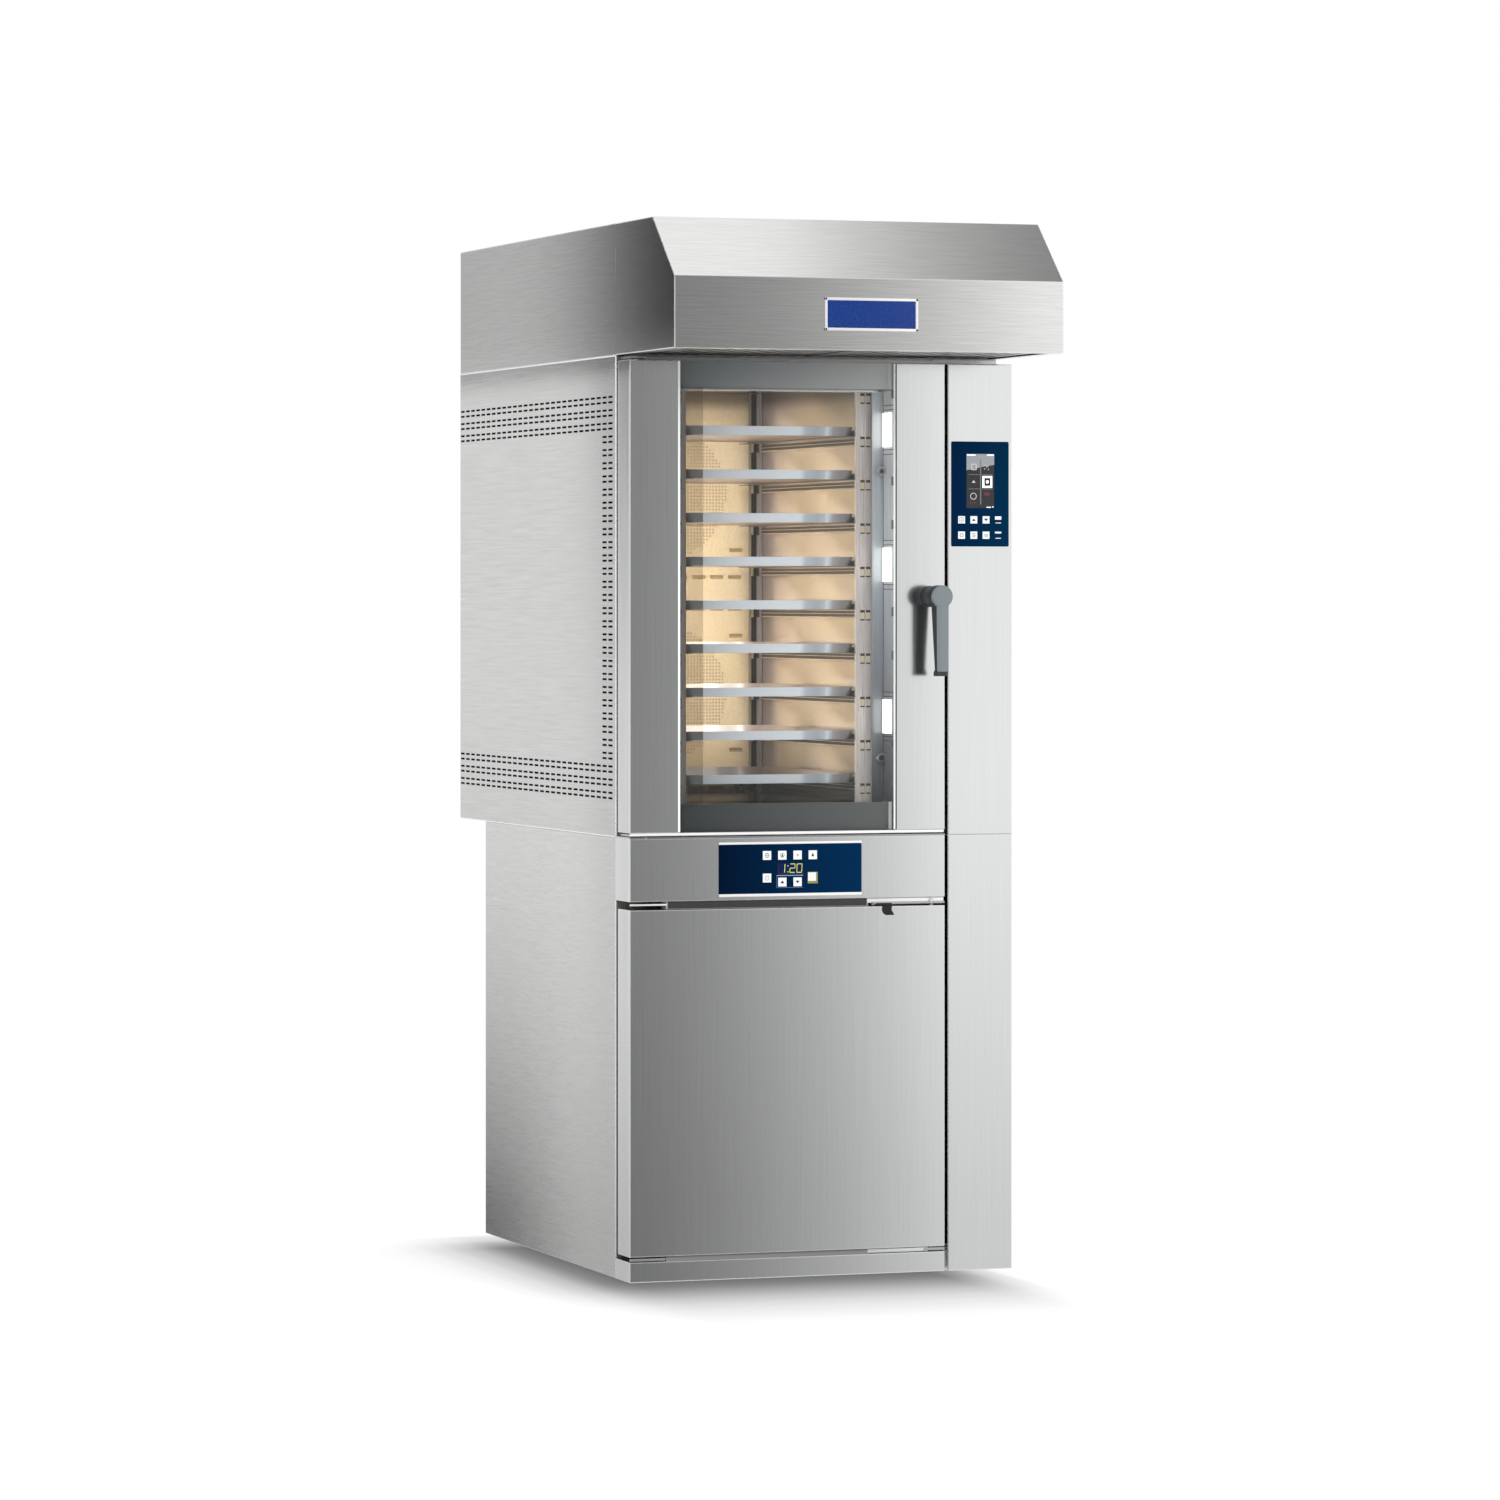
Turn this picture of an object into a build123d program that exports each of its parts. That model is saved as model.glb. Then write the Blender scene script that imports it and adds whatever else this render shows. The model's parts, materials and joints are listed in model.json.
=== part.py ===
from build123d import *
import math
import os

# Convection oven for nine trays, with an extractor hood on top and a proofer cabinet below.
# Millimetres, +Z up, front towards -Y. The origin is the middle of the footprint, on the floor.

# Trays, which drive the chamber
TRAY_COUNT = 9
TRAY_WIDTH = 400
TRAY_LENGTH = 600
TRAY_RIM = 20
TRAY_SLANT = 6
TRAY_SHEET = 1.5
TRAY_CORNER = 18
TRAY_PITCH = 96

# Sheets and clearances
SHEET = 1.5
PLATE = 3
FOLD = 20
BEND = 2
FIT = 0.3
PIVOT_FIT = 0.05

# Widths, from the left side to the right
LEFT_WALL = 124
TRAY_SIDE_GAP = 6
POST_WIDTH = 28
POST_WALL_GAP = 2
DOOR_RIGHT_MARGIN = 135
COLUMN_GAP = 7
COLUMN_WIDTH = 152
RIGHT_INSULATION = 100

# Depths, from the door's front plane to the back
DOOR_THICK = 84
SEAL_GAP = 12
FRAME_TO_CASING = 5
TRAY_INSET = 11
BAFFLE_SPACE = 150
FAN_SPACE = 125
REAR_INSULATION = 58.5
MOTOR_BAY = 255
PROOFER_DEPTH = 1093
HOOD_REACH = 305
HOOD_TOP_REACH = 157
BADGE_THICK = 4

# Heights, from the floor up
PLINTH_HEIGHT = 44
PROOFER_GAP_LOW = 11
PROOFER_DOOR_HEIGHT = 753
PROOFER_GAP_TOP = 18
FASCIA_HEIGHT = 137
SEAM_HEIGHT = 12
FLOOR_ABOVE_DOOR = 57
FIRST_TRAY = 44.5
TOP_SPACE = 97.5
CEILING_BELOW_DOOR = 41
HOOD_GAP = 13
HOOD_FASCIA = 155
HOOD_SLOPE = 133

# Oven door
LEFT_STILE = 114.5
RIGHT_STILE = 116
RAIL_LOW = 60
RAIL_TOP = 63
RAIL_INSET = 57
GLASS_THICK = 5
GLASS_INSET = 1
GLASS_GAP = 0.5
INNER_GLASS_BACK = 3
HINGE_IN = 20
HINGE_BACK = 20
HINGE_PIN = 5
HINGE_PLATE = 5
HINGE_WIDTH = 34
HINGE_ENGAGE = 18
LAMP_DEEP = 43
LAMP_HIGH = 69
LAMP_FRONT = 29
LAMP_BEZEL = 3
LAMP_BODY = 12
CLAMP_RADIUS = 10
CLAMP_HEIGHTS = (157, 791)
LAMP_HEIGHTS = (249, 584, 882)

# Handle
HANDLE_IN = 35
HANDLE_REACH = 79
CAP_RADIUS = 24.5
NECK_RADIUS = 22
SPINDLE_RADIUS = 6
LEVER_LENGTH = 175
LEVER_WIDTH = 27
LEVER_TIP_WIDTH = 24
LEVER_DEEP = 41
LEVER_TIP_DEEP = 19
LEVER_FOOT = 10
CAM_THICK = 5
CAM_REACH = 45
CAM_WIDTH = 16

# Proofer door
PROOFER_HINGE_IN = 28
PROOFER_HINGE_BACK = 14
PROOFER_WALL = 45
PROOFER_HINGE_WALL = 70
PROOFER_HEAD = 36
PROOFER_SILL = 31
PROOFER_BACK_SPACE = 50
RUNNER_COUNT = 8
RUNNER_WIDTH = 22
RUNNER_FOLD = 12

# Control panels
PANEL_THICK = 3
PANEL_OVERLAP = 9
UPPER_PANEL_WIDTH = 134.5
UPPER_PANEL_HEIGHT = 232
UPPER_PANEL_ABOVE_DOOR = 624.5
UPPER_SCREEN = (66, 120)
UPPER_SCREEN_UP = 84.7
LOWER_PANEL_WIDTH = 330
LOWER_PANEL_HEIGHT = 112
LOWER_PANEL_LEFT = 204
CLOCK_SCREEN = (60, 25)
UPPER_KEY_SIDE = 16.5
LOWER_KEY_SIDE = 19.5
START_KEY_SIDE = 23
KEY_PROUD = 0.6
KEY_LIP = 1.5
KEY_TRAVEL = 0.5
KEY_BACK = 2
UPPER_KEY_PITCH = 29
UPPER_KEY_ROWS = (24.3, 58.3)
LOWER_KEY_PITCH = 35.4

# Side vents
SLOT_LENGTH = 30
SLOT_HEIGHT = 4.5
SLOT_PITCH = 42
SLOT_PAIR_PITCH = 90
SLOT_ROW = 11.8
SLOT_PAIR_ROW = 28.9
SLOT_FROM_EDGE = 11
SLOT_BELOW_TOP = 90
BAND_PAIRS = 3

# Fans and heaters
FAN_RADIUS = 150
FAN_EYE = 95
FAN_DEPTH = 70
FAN_BLADES = 18
FAN_SHAFT = 9
HEATER_RADIUS = 185
HEATER_TUBE = 4.5
MOTOR_RADIUS = 65
MOTOR_LENGTH = 150

# Vent, flue and service connections
VENT_RADIUS = 30
FLUE_RADIUS = 100
FLUE_LENGTH = 60
GLAND_BORE = 12
NIPPLE_RADIUS = 13.2
DRAIN_RADIUS = 20
CONNECTION_DROP = 40
NUT_HEIGHT = 3

# Places worked out from the sizes above
CHAMBER_WIDTH = TRAY_WIDTH + 2 * (TRAY_SIDE_GAP + POST_WIDTH + POST_WALL_GAP)
DOOR_WIDTH = LEFT_WALL + CHAMBER_WIDTH + DOOR_RIGHT_MARGIN
WIDTH = DOOR_WIDTH + COLUMN_GAP + COLUMN_WIDTH
LEFT = -WIDTH / 2
RIGHT = WIDTH / 2
DOOR_RIGHT = LEFT + DOOR_WIDTH
COLUMN_LEFT = DOOR_RIGHT + COLUMN_GAP
MOUTH_LEFT = LEFT + LEFT_WALL
MOUTH_RIGHT = MOUTH_LEFT + CHAMBER_WIDTH
MOUTH_MID = (MOUTH_LEFT + MOUTH_RIGHT) / 2
GLASS_LEFT = LEFT + LEFT_STILE
GLASS_RIGHT = DOOR_RIGHT - RIGHT_STILE

FRAME_IN = DOOR_THICK + SEAL_GAP
CHAMBER_IN = FRAME_IN + PLATE
CHAMBER_DEPTH = TRAY_INSET + TRAY_LENGTH + BAFFLE_SPACE + FAN_SPACE
OVEN_DEPTH = CHAMBER_IN + CHAMBER_DEPTH + SHEET + REAR_INSULATION + MOTOR_BAY
FRONT = -(OVEN_DEPTH + HOOD_REACH + BADGE_THICK) / 2 + HOOD_REACH + BADGE_THICK
DOOR_BACK = FRONT + DOOR_THICK
FRAME_Y = FRONT + FRAME_IN
CHAMBER_Y = FRONT + CHAMBER_IN
CASING_Y = CHAMBER_Y + FRAME_TO_CASING
TRAY_Y = CHAMBER_Y + TRAY_INSET
BAFFLE_Y = TRAY_Y + TRAY_LENGTH + BAFFLE_SPACE
CHAMBER_BACK = BAFFLE_Y + FAN_SPACE
BAY_Y = CHAMBER_BACK + SHEET + REAR_INSULATION
BACK = FRONT + OVEN_DEPTH
PROOFER_BACK = FRONT + PROOFER_DEPTH
HOOD_Y = FRONT - HOOD_REACH

PROOFER_DOOR_LOW = PLINTH_HEIGHT + PROOFER_GAP_LOW
PROOFER_DOOR_TOP = PROOFER_DOOR_LOW + PROOFER_DOOR_HEIGHT
FASCIA_LOW = PROOFER_DOOR_TOP + PROOFER_GAP_TOP
OVEN_LOW = FASCIA_LOW + FASCIA_HEIGHT
DOOR_LOW = OVEN_LOW + SEAM_HEIGHT
FLOOR_Z = DOOR_LOW + FLOOR_ABOVE_DOOR
TRAY_Z = FLOOR_Z + FIRST_TRAY
CEILING_Z = TRAY_Z + (TRAY_COUNT - 1) * TRAY_PITCH + TRAY_RIM + TOP_SPACE
DOOR_TOP = CEILING_Z + CEILING_BELOW_DOOR
HOOD_LOW = DOOR_TOP + HOOD_GAP
SLOPE_Z = HOOD_LOW + HOOD_FASCIA
TOP = SLOPE_Z + HOOD_SLOPE
DOOR_MID = (DOOR_LOW + DOOR_TOP) / 2
BASE_TOP = OVEN_LOW + PLATE
ROOF_LOW = HOOD_LOW - SHEET

HANDLE_X = DOOR_RIGHT - HANDLE_IN
FAN_HEIGHTS = [FLOOR_Z + (CEILING_Z - FLOOR_Z) * share for share in (0.25, 0.75)]
TRAY_HEIGHTS = [TRAY_Z + TRAY_PITCH * level for level in range(TRAY_COUNT)]
VENT_Y = BAFFLE_Y - BAFFLE_SPACE / 2
FLUE_Y = (CASING_Y + BACK) / 2
SERVICE_Y = BACK - 95

DIRECTIONS = {"x": (1, 0, 0), "y": (0, 1, 0), "z": (0, 0, 1)}


# Helpers


def block(x0, x1, y0, y1, z0, z1):
    """A box between two corners."""
    centre = Pos((x0 + x1) / 2, (y0 + y1) / 2, (z0 + z1) / 2)
    return centre * Box(x1 - x0, y1 - y0, z1 - z0)


def rod(axis, start, radius, length):
    """A round bar that starts at a point and runs along an axis."""
    place = Plane(origin=start, z_dir=DIRECTIONS[axis])
    return place * Cylinder(radius, length, align=(Align.CENTER, Align.CENTER, Align.MIN))


def tube(axis, start, bore, radius, length):
    """A round tube that starts at a point and runs along an axis."""
    return rod(axis, start, radius, length) - rod(axis, start, bore, length)


def prism(axis, points, low, high):
    """An outline in the two other axes, in X, Y, Z order, pulled along an axis."""
    place = "xyz".index(axis)
    corners = []
    for point in points:
        corner = list(point)
        corner.insert(place, low)
        corners.append(tuple(corner))
    outline = Face(Wire.make_polygon(corners, close=True))
    return extrude(outline, amount=high - low, dir=DIRECTIONS[axis])


def pan(x0, x1, y0, y1, z0, z1, opening, sheet=SHEET, bend=BEND):
    """Sheet folded to a box that is open on one side, such as +y, with rounded folds."""
    low = [x0, y0, z0]
    high = [x1, y1, z1]
    along = "xyz".index(opening[1])
    outer = block(x0, x1, y0, y1, z0, z1)
    if bend > 0:
        faces = outer.faces().sort_by({"x": Axis.X, "y": Axis.Y, "z": Axis.Z}[opening[1]])
        closed = faces[0] if opening[0] == "+" else faces[-1]
        outer = fillet(closed.edges(), bend)
    inner_low = [value + sheet for value in low]
    inner_high = [value - sheet for value in high]
    if opening[0] == "+":
        inner_high[along] = high[along] + sheet
    else:
        inner_low[along] = low[along] - sheet
    inner = block(inner_low[0], inner_high[0], inner_low[1], inner_high[1], inner_low[2], inner_high[2])
    return outer - inner


def frame_bars(x0, x1, z0, z1, width, y0, y1):
    """Four butted bars round an opening: left, right, top and bottom, each of the given width."""
    return [
        block(x0 - width, x0, y0, y1, z0 - width, z1 + width),
        block(x1, x1 + width, y0, y1, z0 - width, z1 + width),
        block(x0, x1, y0, y1, z1, z1 + width),
        block(x0, x1, y0, y1, z0 - width, z0),
    ]


def save(name, *shapes):
    """Writes one named sub-part, with each of its pieces as a separate solid."""
    solids = [solid for shape in shapes for solid in shape.solids()]
    export_step(Compound(children=solids), f"parts/{name}.step")


# Hood


def hood_canopy():
    """Front shell of the hood: sides, sloping face, fascia and an inward lip that holds the filters."""
    lip = 25
    profile = [
        (HOOD_Y, HOOD_LOW),
        (HOOD_Y, SLOPE_Z),
        (FRONT - HOOD_TOP_REACH, TOP),
        (CASING_Y, TOP),
        (CASING_Y, HOOD_LOW),
    ]
    outer = prism("x", profile, LEFT, RIGHT)
    visible = outer.edges().filter_by(lambda edge: edge.center().Y < CASING_Y - 1)
    outer = fillet(visible, BEND)
    slope = math.atan2(HOOD_SLOPE, HOOD_REACH - HOOD_TOP_REACH)
    turn_low = SHEET * math.tan((math.pi / 2 - slope) / 2)
    turn_top = SHEET * math.tan(slope / 2)
    hollow = [
        (HOOD_Y + SHEET, HOOD_LOW + SHEET),
        (HOOD_Y + SHEET, SLOPE_Z - turn_low),
        (FRONT - HOOD_TOP_REACH + turn_top, TOP - SHEET),
        (CASING_Y + SHEET, TOP - SHEET),
        (CASING_Y + SHEET, HOOD_LOW + SHEET),
    ]
    inner = prism("x", hollow, LEFT + SHEET, RIGHT - SHEET)
    window = block(LEFT + lip, RIGHT - lip, HOOD_Y + lip, CASING_Y - lip, HOOD_LOW - 1, HOOD_LOW + 2 * SHEET)
    return outer - inner - window


def hood_housing():
    """Rear of the hood, open to the canopy: roof and floor with a hole each, two sides and the back."""
    shell = pan(LEFT, RIGHT, CASING_Y, BACK, HOOD_LOW, TOP, "-y")
    low = HOOD_LOW + SHEET
    high = TOP - SHEET
    roof = shell & block(LEFT, RIGHT, CASING_Y, BACK, high, TOP)
    roof -= rod("z", (0, FLUE_Y, TOP - 2 * SHEET), FLUE_RADIUS + PLATE + 0.1, 4 * SHEET)
    floor = shell & block(LEFT, RIGHT, CASING_Y, BACK, HOOD_LOW, low)
    floor -= rod("z", (MOUTH_MID, VENT_Y, HOOD_LOW - 1), VENT_RADIUS + SHEET + FIT, 4 * SHEET)
    left = shell & block(LEFT, LEFT + SHEET, CASING_Y, BACK, low, high)
    right = shell & block(RIGHT - SHEET, RIGHT, CASING_Y, BACK, low, high)
    back = shell & block(LEFT + SHEET, RIGHT - SHEET, BACK - SHEET, BACK, low, high)
    return roof, floor, left, right, back


def hood_filters():
    """Two labyrinth grease filters that lie on the canopy's lip."""
    inset = 8
    height = 25
    slat = 20
    pitch = 32
    middle_gap = 2
    y0 = HOOD_Y + inset
    y1 = CASING_Y - inset
    z0 = HOOD_LOW + SHEET
    filters = []
    for x0, x1 in ((LEFT + inset, -middle_gap), (middle_gap, RIGHT - inset)):
        cassette = block(x0, x1, y0, y1, z0, z0 + height)
        cassette -= block(x0 + 14, x1 - 14, y0 + 14, y1 - 14, z0 - 1, z0 + height + 1)
        count = int((x1 - x0 - 28) / pitch)
        first = (x0 + x1) / 2 - (count - 1) * pitch / 2
        slats = []
        for index in range(count):
            middle = first + index * pitch
            slats.append(block(middle - slat / 2, middle + slat / 2, y0 + 13, y1 - 13, z0 + 1, z0 + 3))
        for index in range(count - 1):
            middle = first + (index + 0.5) * pitch
            slats.append(block(middle - slat / 2, middle + slat / 2, y0 + 13, y1 - 13, z0 + 18, z0 + 20))
        filters.append(cassette + slats)
    return filters


def flue_collar():
    """Exhaust sleeve for a round duct, flush with the top and flanged under it."""
    low = TOP - FLUE_LENGTH
    sleeve = rod("z", (0, FLUE_Y, low), FLUE_RADIUS + PLATE, FLUE_LENGTH)
    flange = rod("z", (0, FLUE_Y, TOP - SHEET - PLATE), FLUE_RADIUS + 20, PLATE)
    return sleeve + flange - rod("z", (0, FLUE_Y, low - 1), FLUE_RADIUS, FLUE_LENGTH + 2)


FAN_CASE_LENGTH = 120
FAN_CASE_RADIUS = FLUE_RADIUS - 4
HOOD_MOTOR_RADIUS = 40
HOOD_SHAFT = 6


def hood_fan_housing():
    """Round fan casing under the flue collar, and the motor on three arms inside it."""
    top = TOP - FLUE_LENGTH
    low = top - FAN_CASE_LENGTH
    casing = tube("z", (0, FLUE_Y, low), FAN_CASE_RADIUS, FLUE_RADIUS + PLATE, FAN_CASE_LENGTH)
    motor = rod("z", (0, FLUE_Y, low), HOOD_MOTOR_RADIUS, 50)
    motor -= rod("z", (0, FLUE_Y, low + 20), HOOD_SHAFT + PIVOT_FIT, 50)
    arm = block(HOOD_MOTOR_RADIUS - 4, FLUE_RADIUS, -4, 4, 0, 20)
    arms = [Pos(0, FLUE_Y, low) * Rot(0, 0, turn) * arm for turn in (90, 210, 330)]
    return casing + motor + arms


def hood_fan_wheel():
    """Extractor wheel with six pitched blades on the motor shaft."""
    low = TOP - FLUE_LENGTH - FAN_CASE_LENGTH
    hub_low = low + 52
    hub_height = 42
    blade_count = 6
    reach = FAN_CASE_RADIUS - 4
    hub = rod("z", (0, FLUE_Y, hub_low), 28, hub_height)
    shaft = rod("z", (0, FLUE_Y, low + 21), HOOD_SHAFT, hub_low - low - 20)
    blade = Pos((reach + 24) / 2, 0, 0) * Rot(35, 0, 0) * Box(reach - 24, 46, 2.5)
    wheel = hub + shaft
    for index in range(blade_count):
        turn = Rot(0, 0, 360 / blade_count * index)
        wheel += Pos(0, FLUE_Y, hub_low + hub_height / 2) * turn * blade
    trim = tube("z", (0, FLUE_Y, low), reach, reach + 60, FAN_CASE_LENGTH)
    return wheel - trim


BADGE_WIDTH = 213.5
BADGE_HEIGHT = 71


def badge_plate():
    """Bare name plate in the middle of the hood's fascia."""
    middle = HOOD_LOW + HOOD_FASCIA / 2
    half = BADGE_WIDTH / 2
    up = BADGE_HEIGHT / 2
    rim = 5
    face = HOOD_Y - BADGE_THICK
    plate = block(-half, half, face, HOOD_Y, middle - up, middle + up)
    recess = block(-half + rim, half - rim, face - 1, face + 1, middle - up + rim, middle + up - rim)
    return plate - recess


# Oven casing


def vent_slots(x0, x1):
    """Punched slots: a band of rows at the top and the bottom, and a column of short rows at the front."""
    first_y = CASING_Y + SLOT_FROM_EDGE
    columns = int((BACK - FOLD - first_y) / SLOT_PAIR_PITCH)
    top_row = HOOD_LOW - SLOT_BELOW_TOP
    pairs = int((top_row - SLOT_ROW - FLOOR_Z) / SLOT_PAIR_ROW) + 1
    slots = []
    for pair in range(pairs):
        in_band = pair < BAND_PAIRS or pair >= pairs - BAND_PAIRS
        for row in range(2):
            z = top_row - pair * SLOT_PAIR_ROW - row * SLOT_ROW
            for column in range(columns if in_band else 1):
                for slot in range(2):
                    y = first_y + column * SLOT_PAIR_PITCH + slot * SLOT_PITCH
                    slots.append(block(x0, x1, y, y + SLOT_LENGTH, z - SLOT_HEIGHT / 2, z + SLOT_HEIGHT / 2))
    return slots


def oven_side_left():
    """Left casing side, folded all round, with its vent slots."""
    side = pan(LEFT, LEFT + FOLD, CASING_Y, BACK, OVEN_LOW, HOOD_LOW, "+x")
    return side - vent_slots(LEFT - 1, LEFT + 3 * SHEET)


def oven_side_right():
    """Right casing side, the same sheet handed."""
    side = pan(RIGHT - FOLD, RIGHT, CASING_Y, BACK, OVEN_LOW, HOOD_LOW, "-x")
    return side - vent_slots(RIGHT - 3 * SHEET, RIGHT + 1)


def oven_rear_cover():
    """Roof sheet with the vent hole, and the back sheet with cooling slots for the motor bay."""
    x0 = LEFT + FOLD
    x1 = RIGHT - FOLD
    roof = block(x0, x1, CASING_Y, BACK, ROOF_LOW, HOOD_LOW)
    roof -= rod("z", (MOUTH_MID, VENT_Y, ROOF_LOW - 1), VENT_RADIUS + SHEET + FIT, 4 * SHEET)
    back = block(x0, x1, BACK - SHEET, BACK, BASE_TOP, ROOF_LOW)
    slots = []
    for centre_z in FAN_HEIGHTS:
        for x in (-WIDTH / 5, WIDTH / 5):
            for row in range(-5, 6):
                z = centre_z + row * 16
                slots.append(block(x - 60, x + 60, BACK - 3 * SHEET, BACK + 1, z - 3, z + 3))
    return roof, back - slots


def oven_base_frame():
    """Base plate of the oven with a front lip under the door and two bearers under the chamber."""
    plate = block(LEFT + FOLD, RIGHT - FOLD, CASING_Y, BACK, OVEN_LOW, BASE_TOP)
    lip = block(LEFT, DOOR_RIGHT, FRONT, CASING_Y, OVEN_LOW, BASE_TOP)
    base = plate + lip
    for place, radius in service_places():
        base -= rod("z", (place, SERVICE_Y, OVEN_LOW - 1), radius + FIT, PLATE + 2)
    return base


def oven_front_frame():
    """Bars round the chamber mouth for the seal, hinges and keeper, and the bar above the column."""
    left = block(LEFT + SHEET, MOUTH_LEFT, FRAME_Y, CHAMBER_Y, BASE_TOP, ROOF_LOW)
    left += block(LEFT + SHEET, LEFT + FOLD, CHAMBER_Y, CASING_Y, BASE_TOP, ROOF_LOW)
    return (
        left,
        block(MOUTH_RIGHT, COLUMN_LEFT, FRAME_Y, CHAMBER_Y, BASE_TOP, ROOF_LOW),
        block(MOUTH_LEFT, MOUTH_RIGHT, FRAME_Y, CHAMBER_Y, CEILING_Z, ROOF_LOW),
        block(MOUTH_LEFT, MOUTH_RIGHT, FRAME_Y, CHAMBER_Y, BASE_TOP, FLOOR_Z),
        block(COLUMN_LEFT, RIGHT, FRAME_Y, CASING_Y, DOOR_TOP, HOOD_LOW),
    )


# Baking chamber

STEAM_X = MOUTH_RIGHT - 66
STEAM_Z = FLOOR_Z + 18
STEAM_PIPE = 6
NOZZLE_RADIUS = 7
NOZZLE_PITCH = 28
DRAIN_X = MOUTH_MID
DRAIN_INLET_Y = BAFFLE_Y - 110
DRAIN_PIPE_Z = (BASE_TOP + FLOOR_Z) / 2


def chamber_liner():
    """Inner box of the baking chamber, as welded sheets, with holes for shafts, vent, steam and drain."""
    x0 = MOUTH_LEFT - SHEET
    x1 = MOUTH_RIGHT + SHEET
    z0 = FLOOR_Z - SHEET
    z1 = CEILING_Z + SHEET
    left = block(x0, MOUTH_LEFT, CHAMBER_Y, CHAMBER_BACK, z0, z1)
    right = block(MOUTH_RIGHT, x1, CHAMBER_Y, CHAMBER_BACK, z0, z1)
    floor = block(MOUTH_LEFT, MOUTH_RIGHT, CHAMBER_Y, CHAMBER_BACK, z0, FLOOR_Z)
    floor -= rod("z", (DRAIN_X, DRAIN_INLET_Y, FLOOR_Z - 2 * SHEET), DRAIN_RADIUS + FIT, 4 * SHEET)
    ceiling = block(MOUTH_LEFT, MOUTH_RIGHT, CHAMBER_Y, CHAMBER_BACK, CEILING_Z, z1)
    ceiling -= rod("z", (MOUTH_MID, VENT_Y, CEILING_Z - 1), VENT_RADIUS + SHEET + FIT, 4 * SHEET)
    rear = block(x0, x1, CHAMBER_BACK, CHAMBER_BACK + SHEET, z0, z1)
    return left, right, floor, ceiling, rear - rear_wall_holes(CHAMBER_BACK - 1, SHEET + 2)


def rear_wall_holes(start, length):
    """Cutters for the fan shafts, the heating elements' ends and the steam pipe."""
    holes = [rod("y", (STEAM_X, start, STEAM_Z), STEAM_PIPE + FIT, length)]
    for z in FAN_HEIGHTS:
        holes.append(rod("y", (MOUTH_MID, start, z), FAN_SHAFT + 4, length))
        for x, height in heater_terminals(z):
            holes.append(rod("y", (x, start, height), HEATER_END + FIT, length))
    return holes


def insulation():
    """Mineral wool slabs round the baking chamber and round the proofer."""
    x0 = LEFT + FOLD + 2
    x1 = MOUTH_RIGHT + SHEET + RIGHT_INSULATION
    y0 = CASING_Y + 2
    z0 = BASE_TOP
    z1 = ROOF_LOW - 2
    inner_left = MOUTH_LEFT - SHEET
    inner_right = MOUTH_RIGHT + SHEET
    left = block(x0, inner_left, y0, BAY_Y, z0, z1)
    right = block(inner_right, x1, y0, BAY_Y, z0, z1)
    top = block(inner_left, inner_right, y0, BAY_Y, CEILING_Z + SHEET, z1)
    top -= rod("z", (MOUTH_MID, VENT_Y, CEILING_Z), VENT_RADIUS + SHEET + FIT, z1 - CEILING_Z + 1)
    bottom = block(inner_left, inner_right, y0, BAY_Y, z0, FLOOR_Z - SHEET)
    room = DRAIN_RADIUS + FIT
    bottom -= block(DRAIN_X - room, DRAIN_X + room, DRAIN_INLET_Y - room, BAY_Y + 1, z0 - 1, FLOOR_Z)
    rear = block(inner_left, inner_right, CHAMBER_BACK + SHEET, BAY_Y, FLOOR_Z - SHEET, CEILING_Z + SHEET)
    rear -= rear_wall_holes(CHAMBER_BACK, REAR_INSULATION + 4)
    px0, px1, pz0, pz1 = proofer_mouth()
    y1 = PROOFER_BACK - PROOFER_BACK_SPACE
    proofer_left = block(LEFT + FOLD + 1, px0 - SHEET, y0, y1, pz0, pz1)
    proofer_right = block(px1 + SHEET, DOOR_RIGHT, y0, y1, pz0, pz1)
    return left, right, top, bottom, rear, proofer_left, proofer_right


INTAKE_RADIUS = 158
INTAKE_PITCH = 20
INTAKE_HOLE = 14
OUTLET = (32, 9)
OUTLET_PITCH = 44
LOW_OUTLET = (40, 10)
LOW_OUTLET_PITCH = 48.3
BAFFLE_SIDE_GAP = 13
BAFFLE_FOLD = 10


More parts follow.
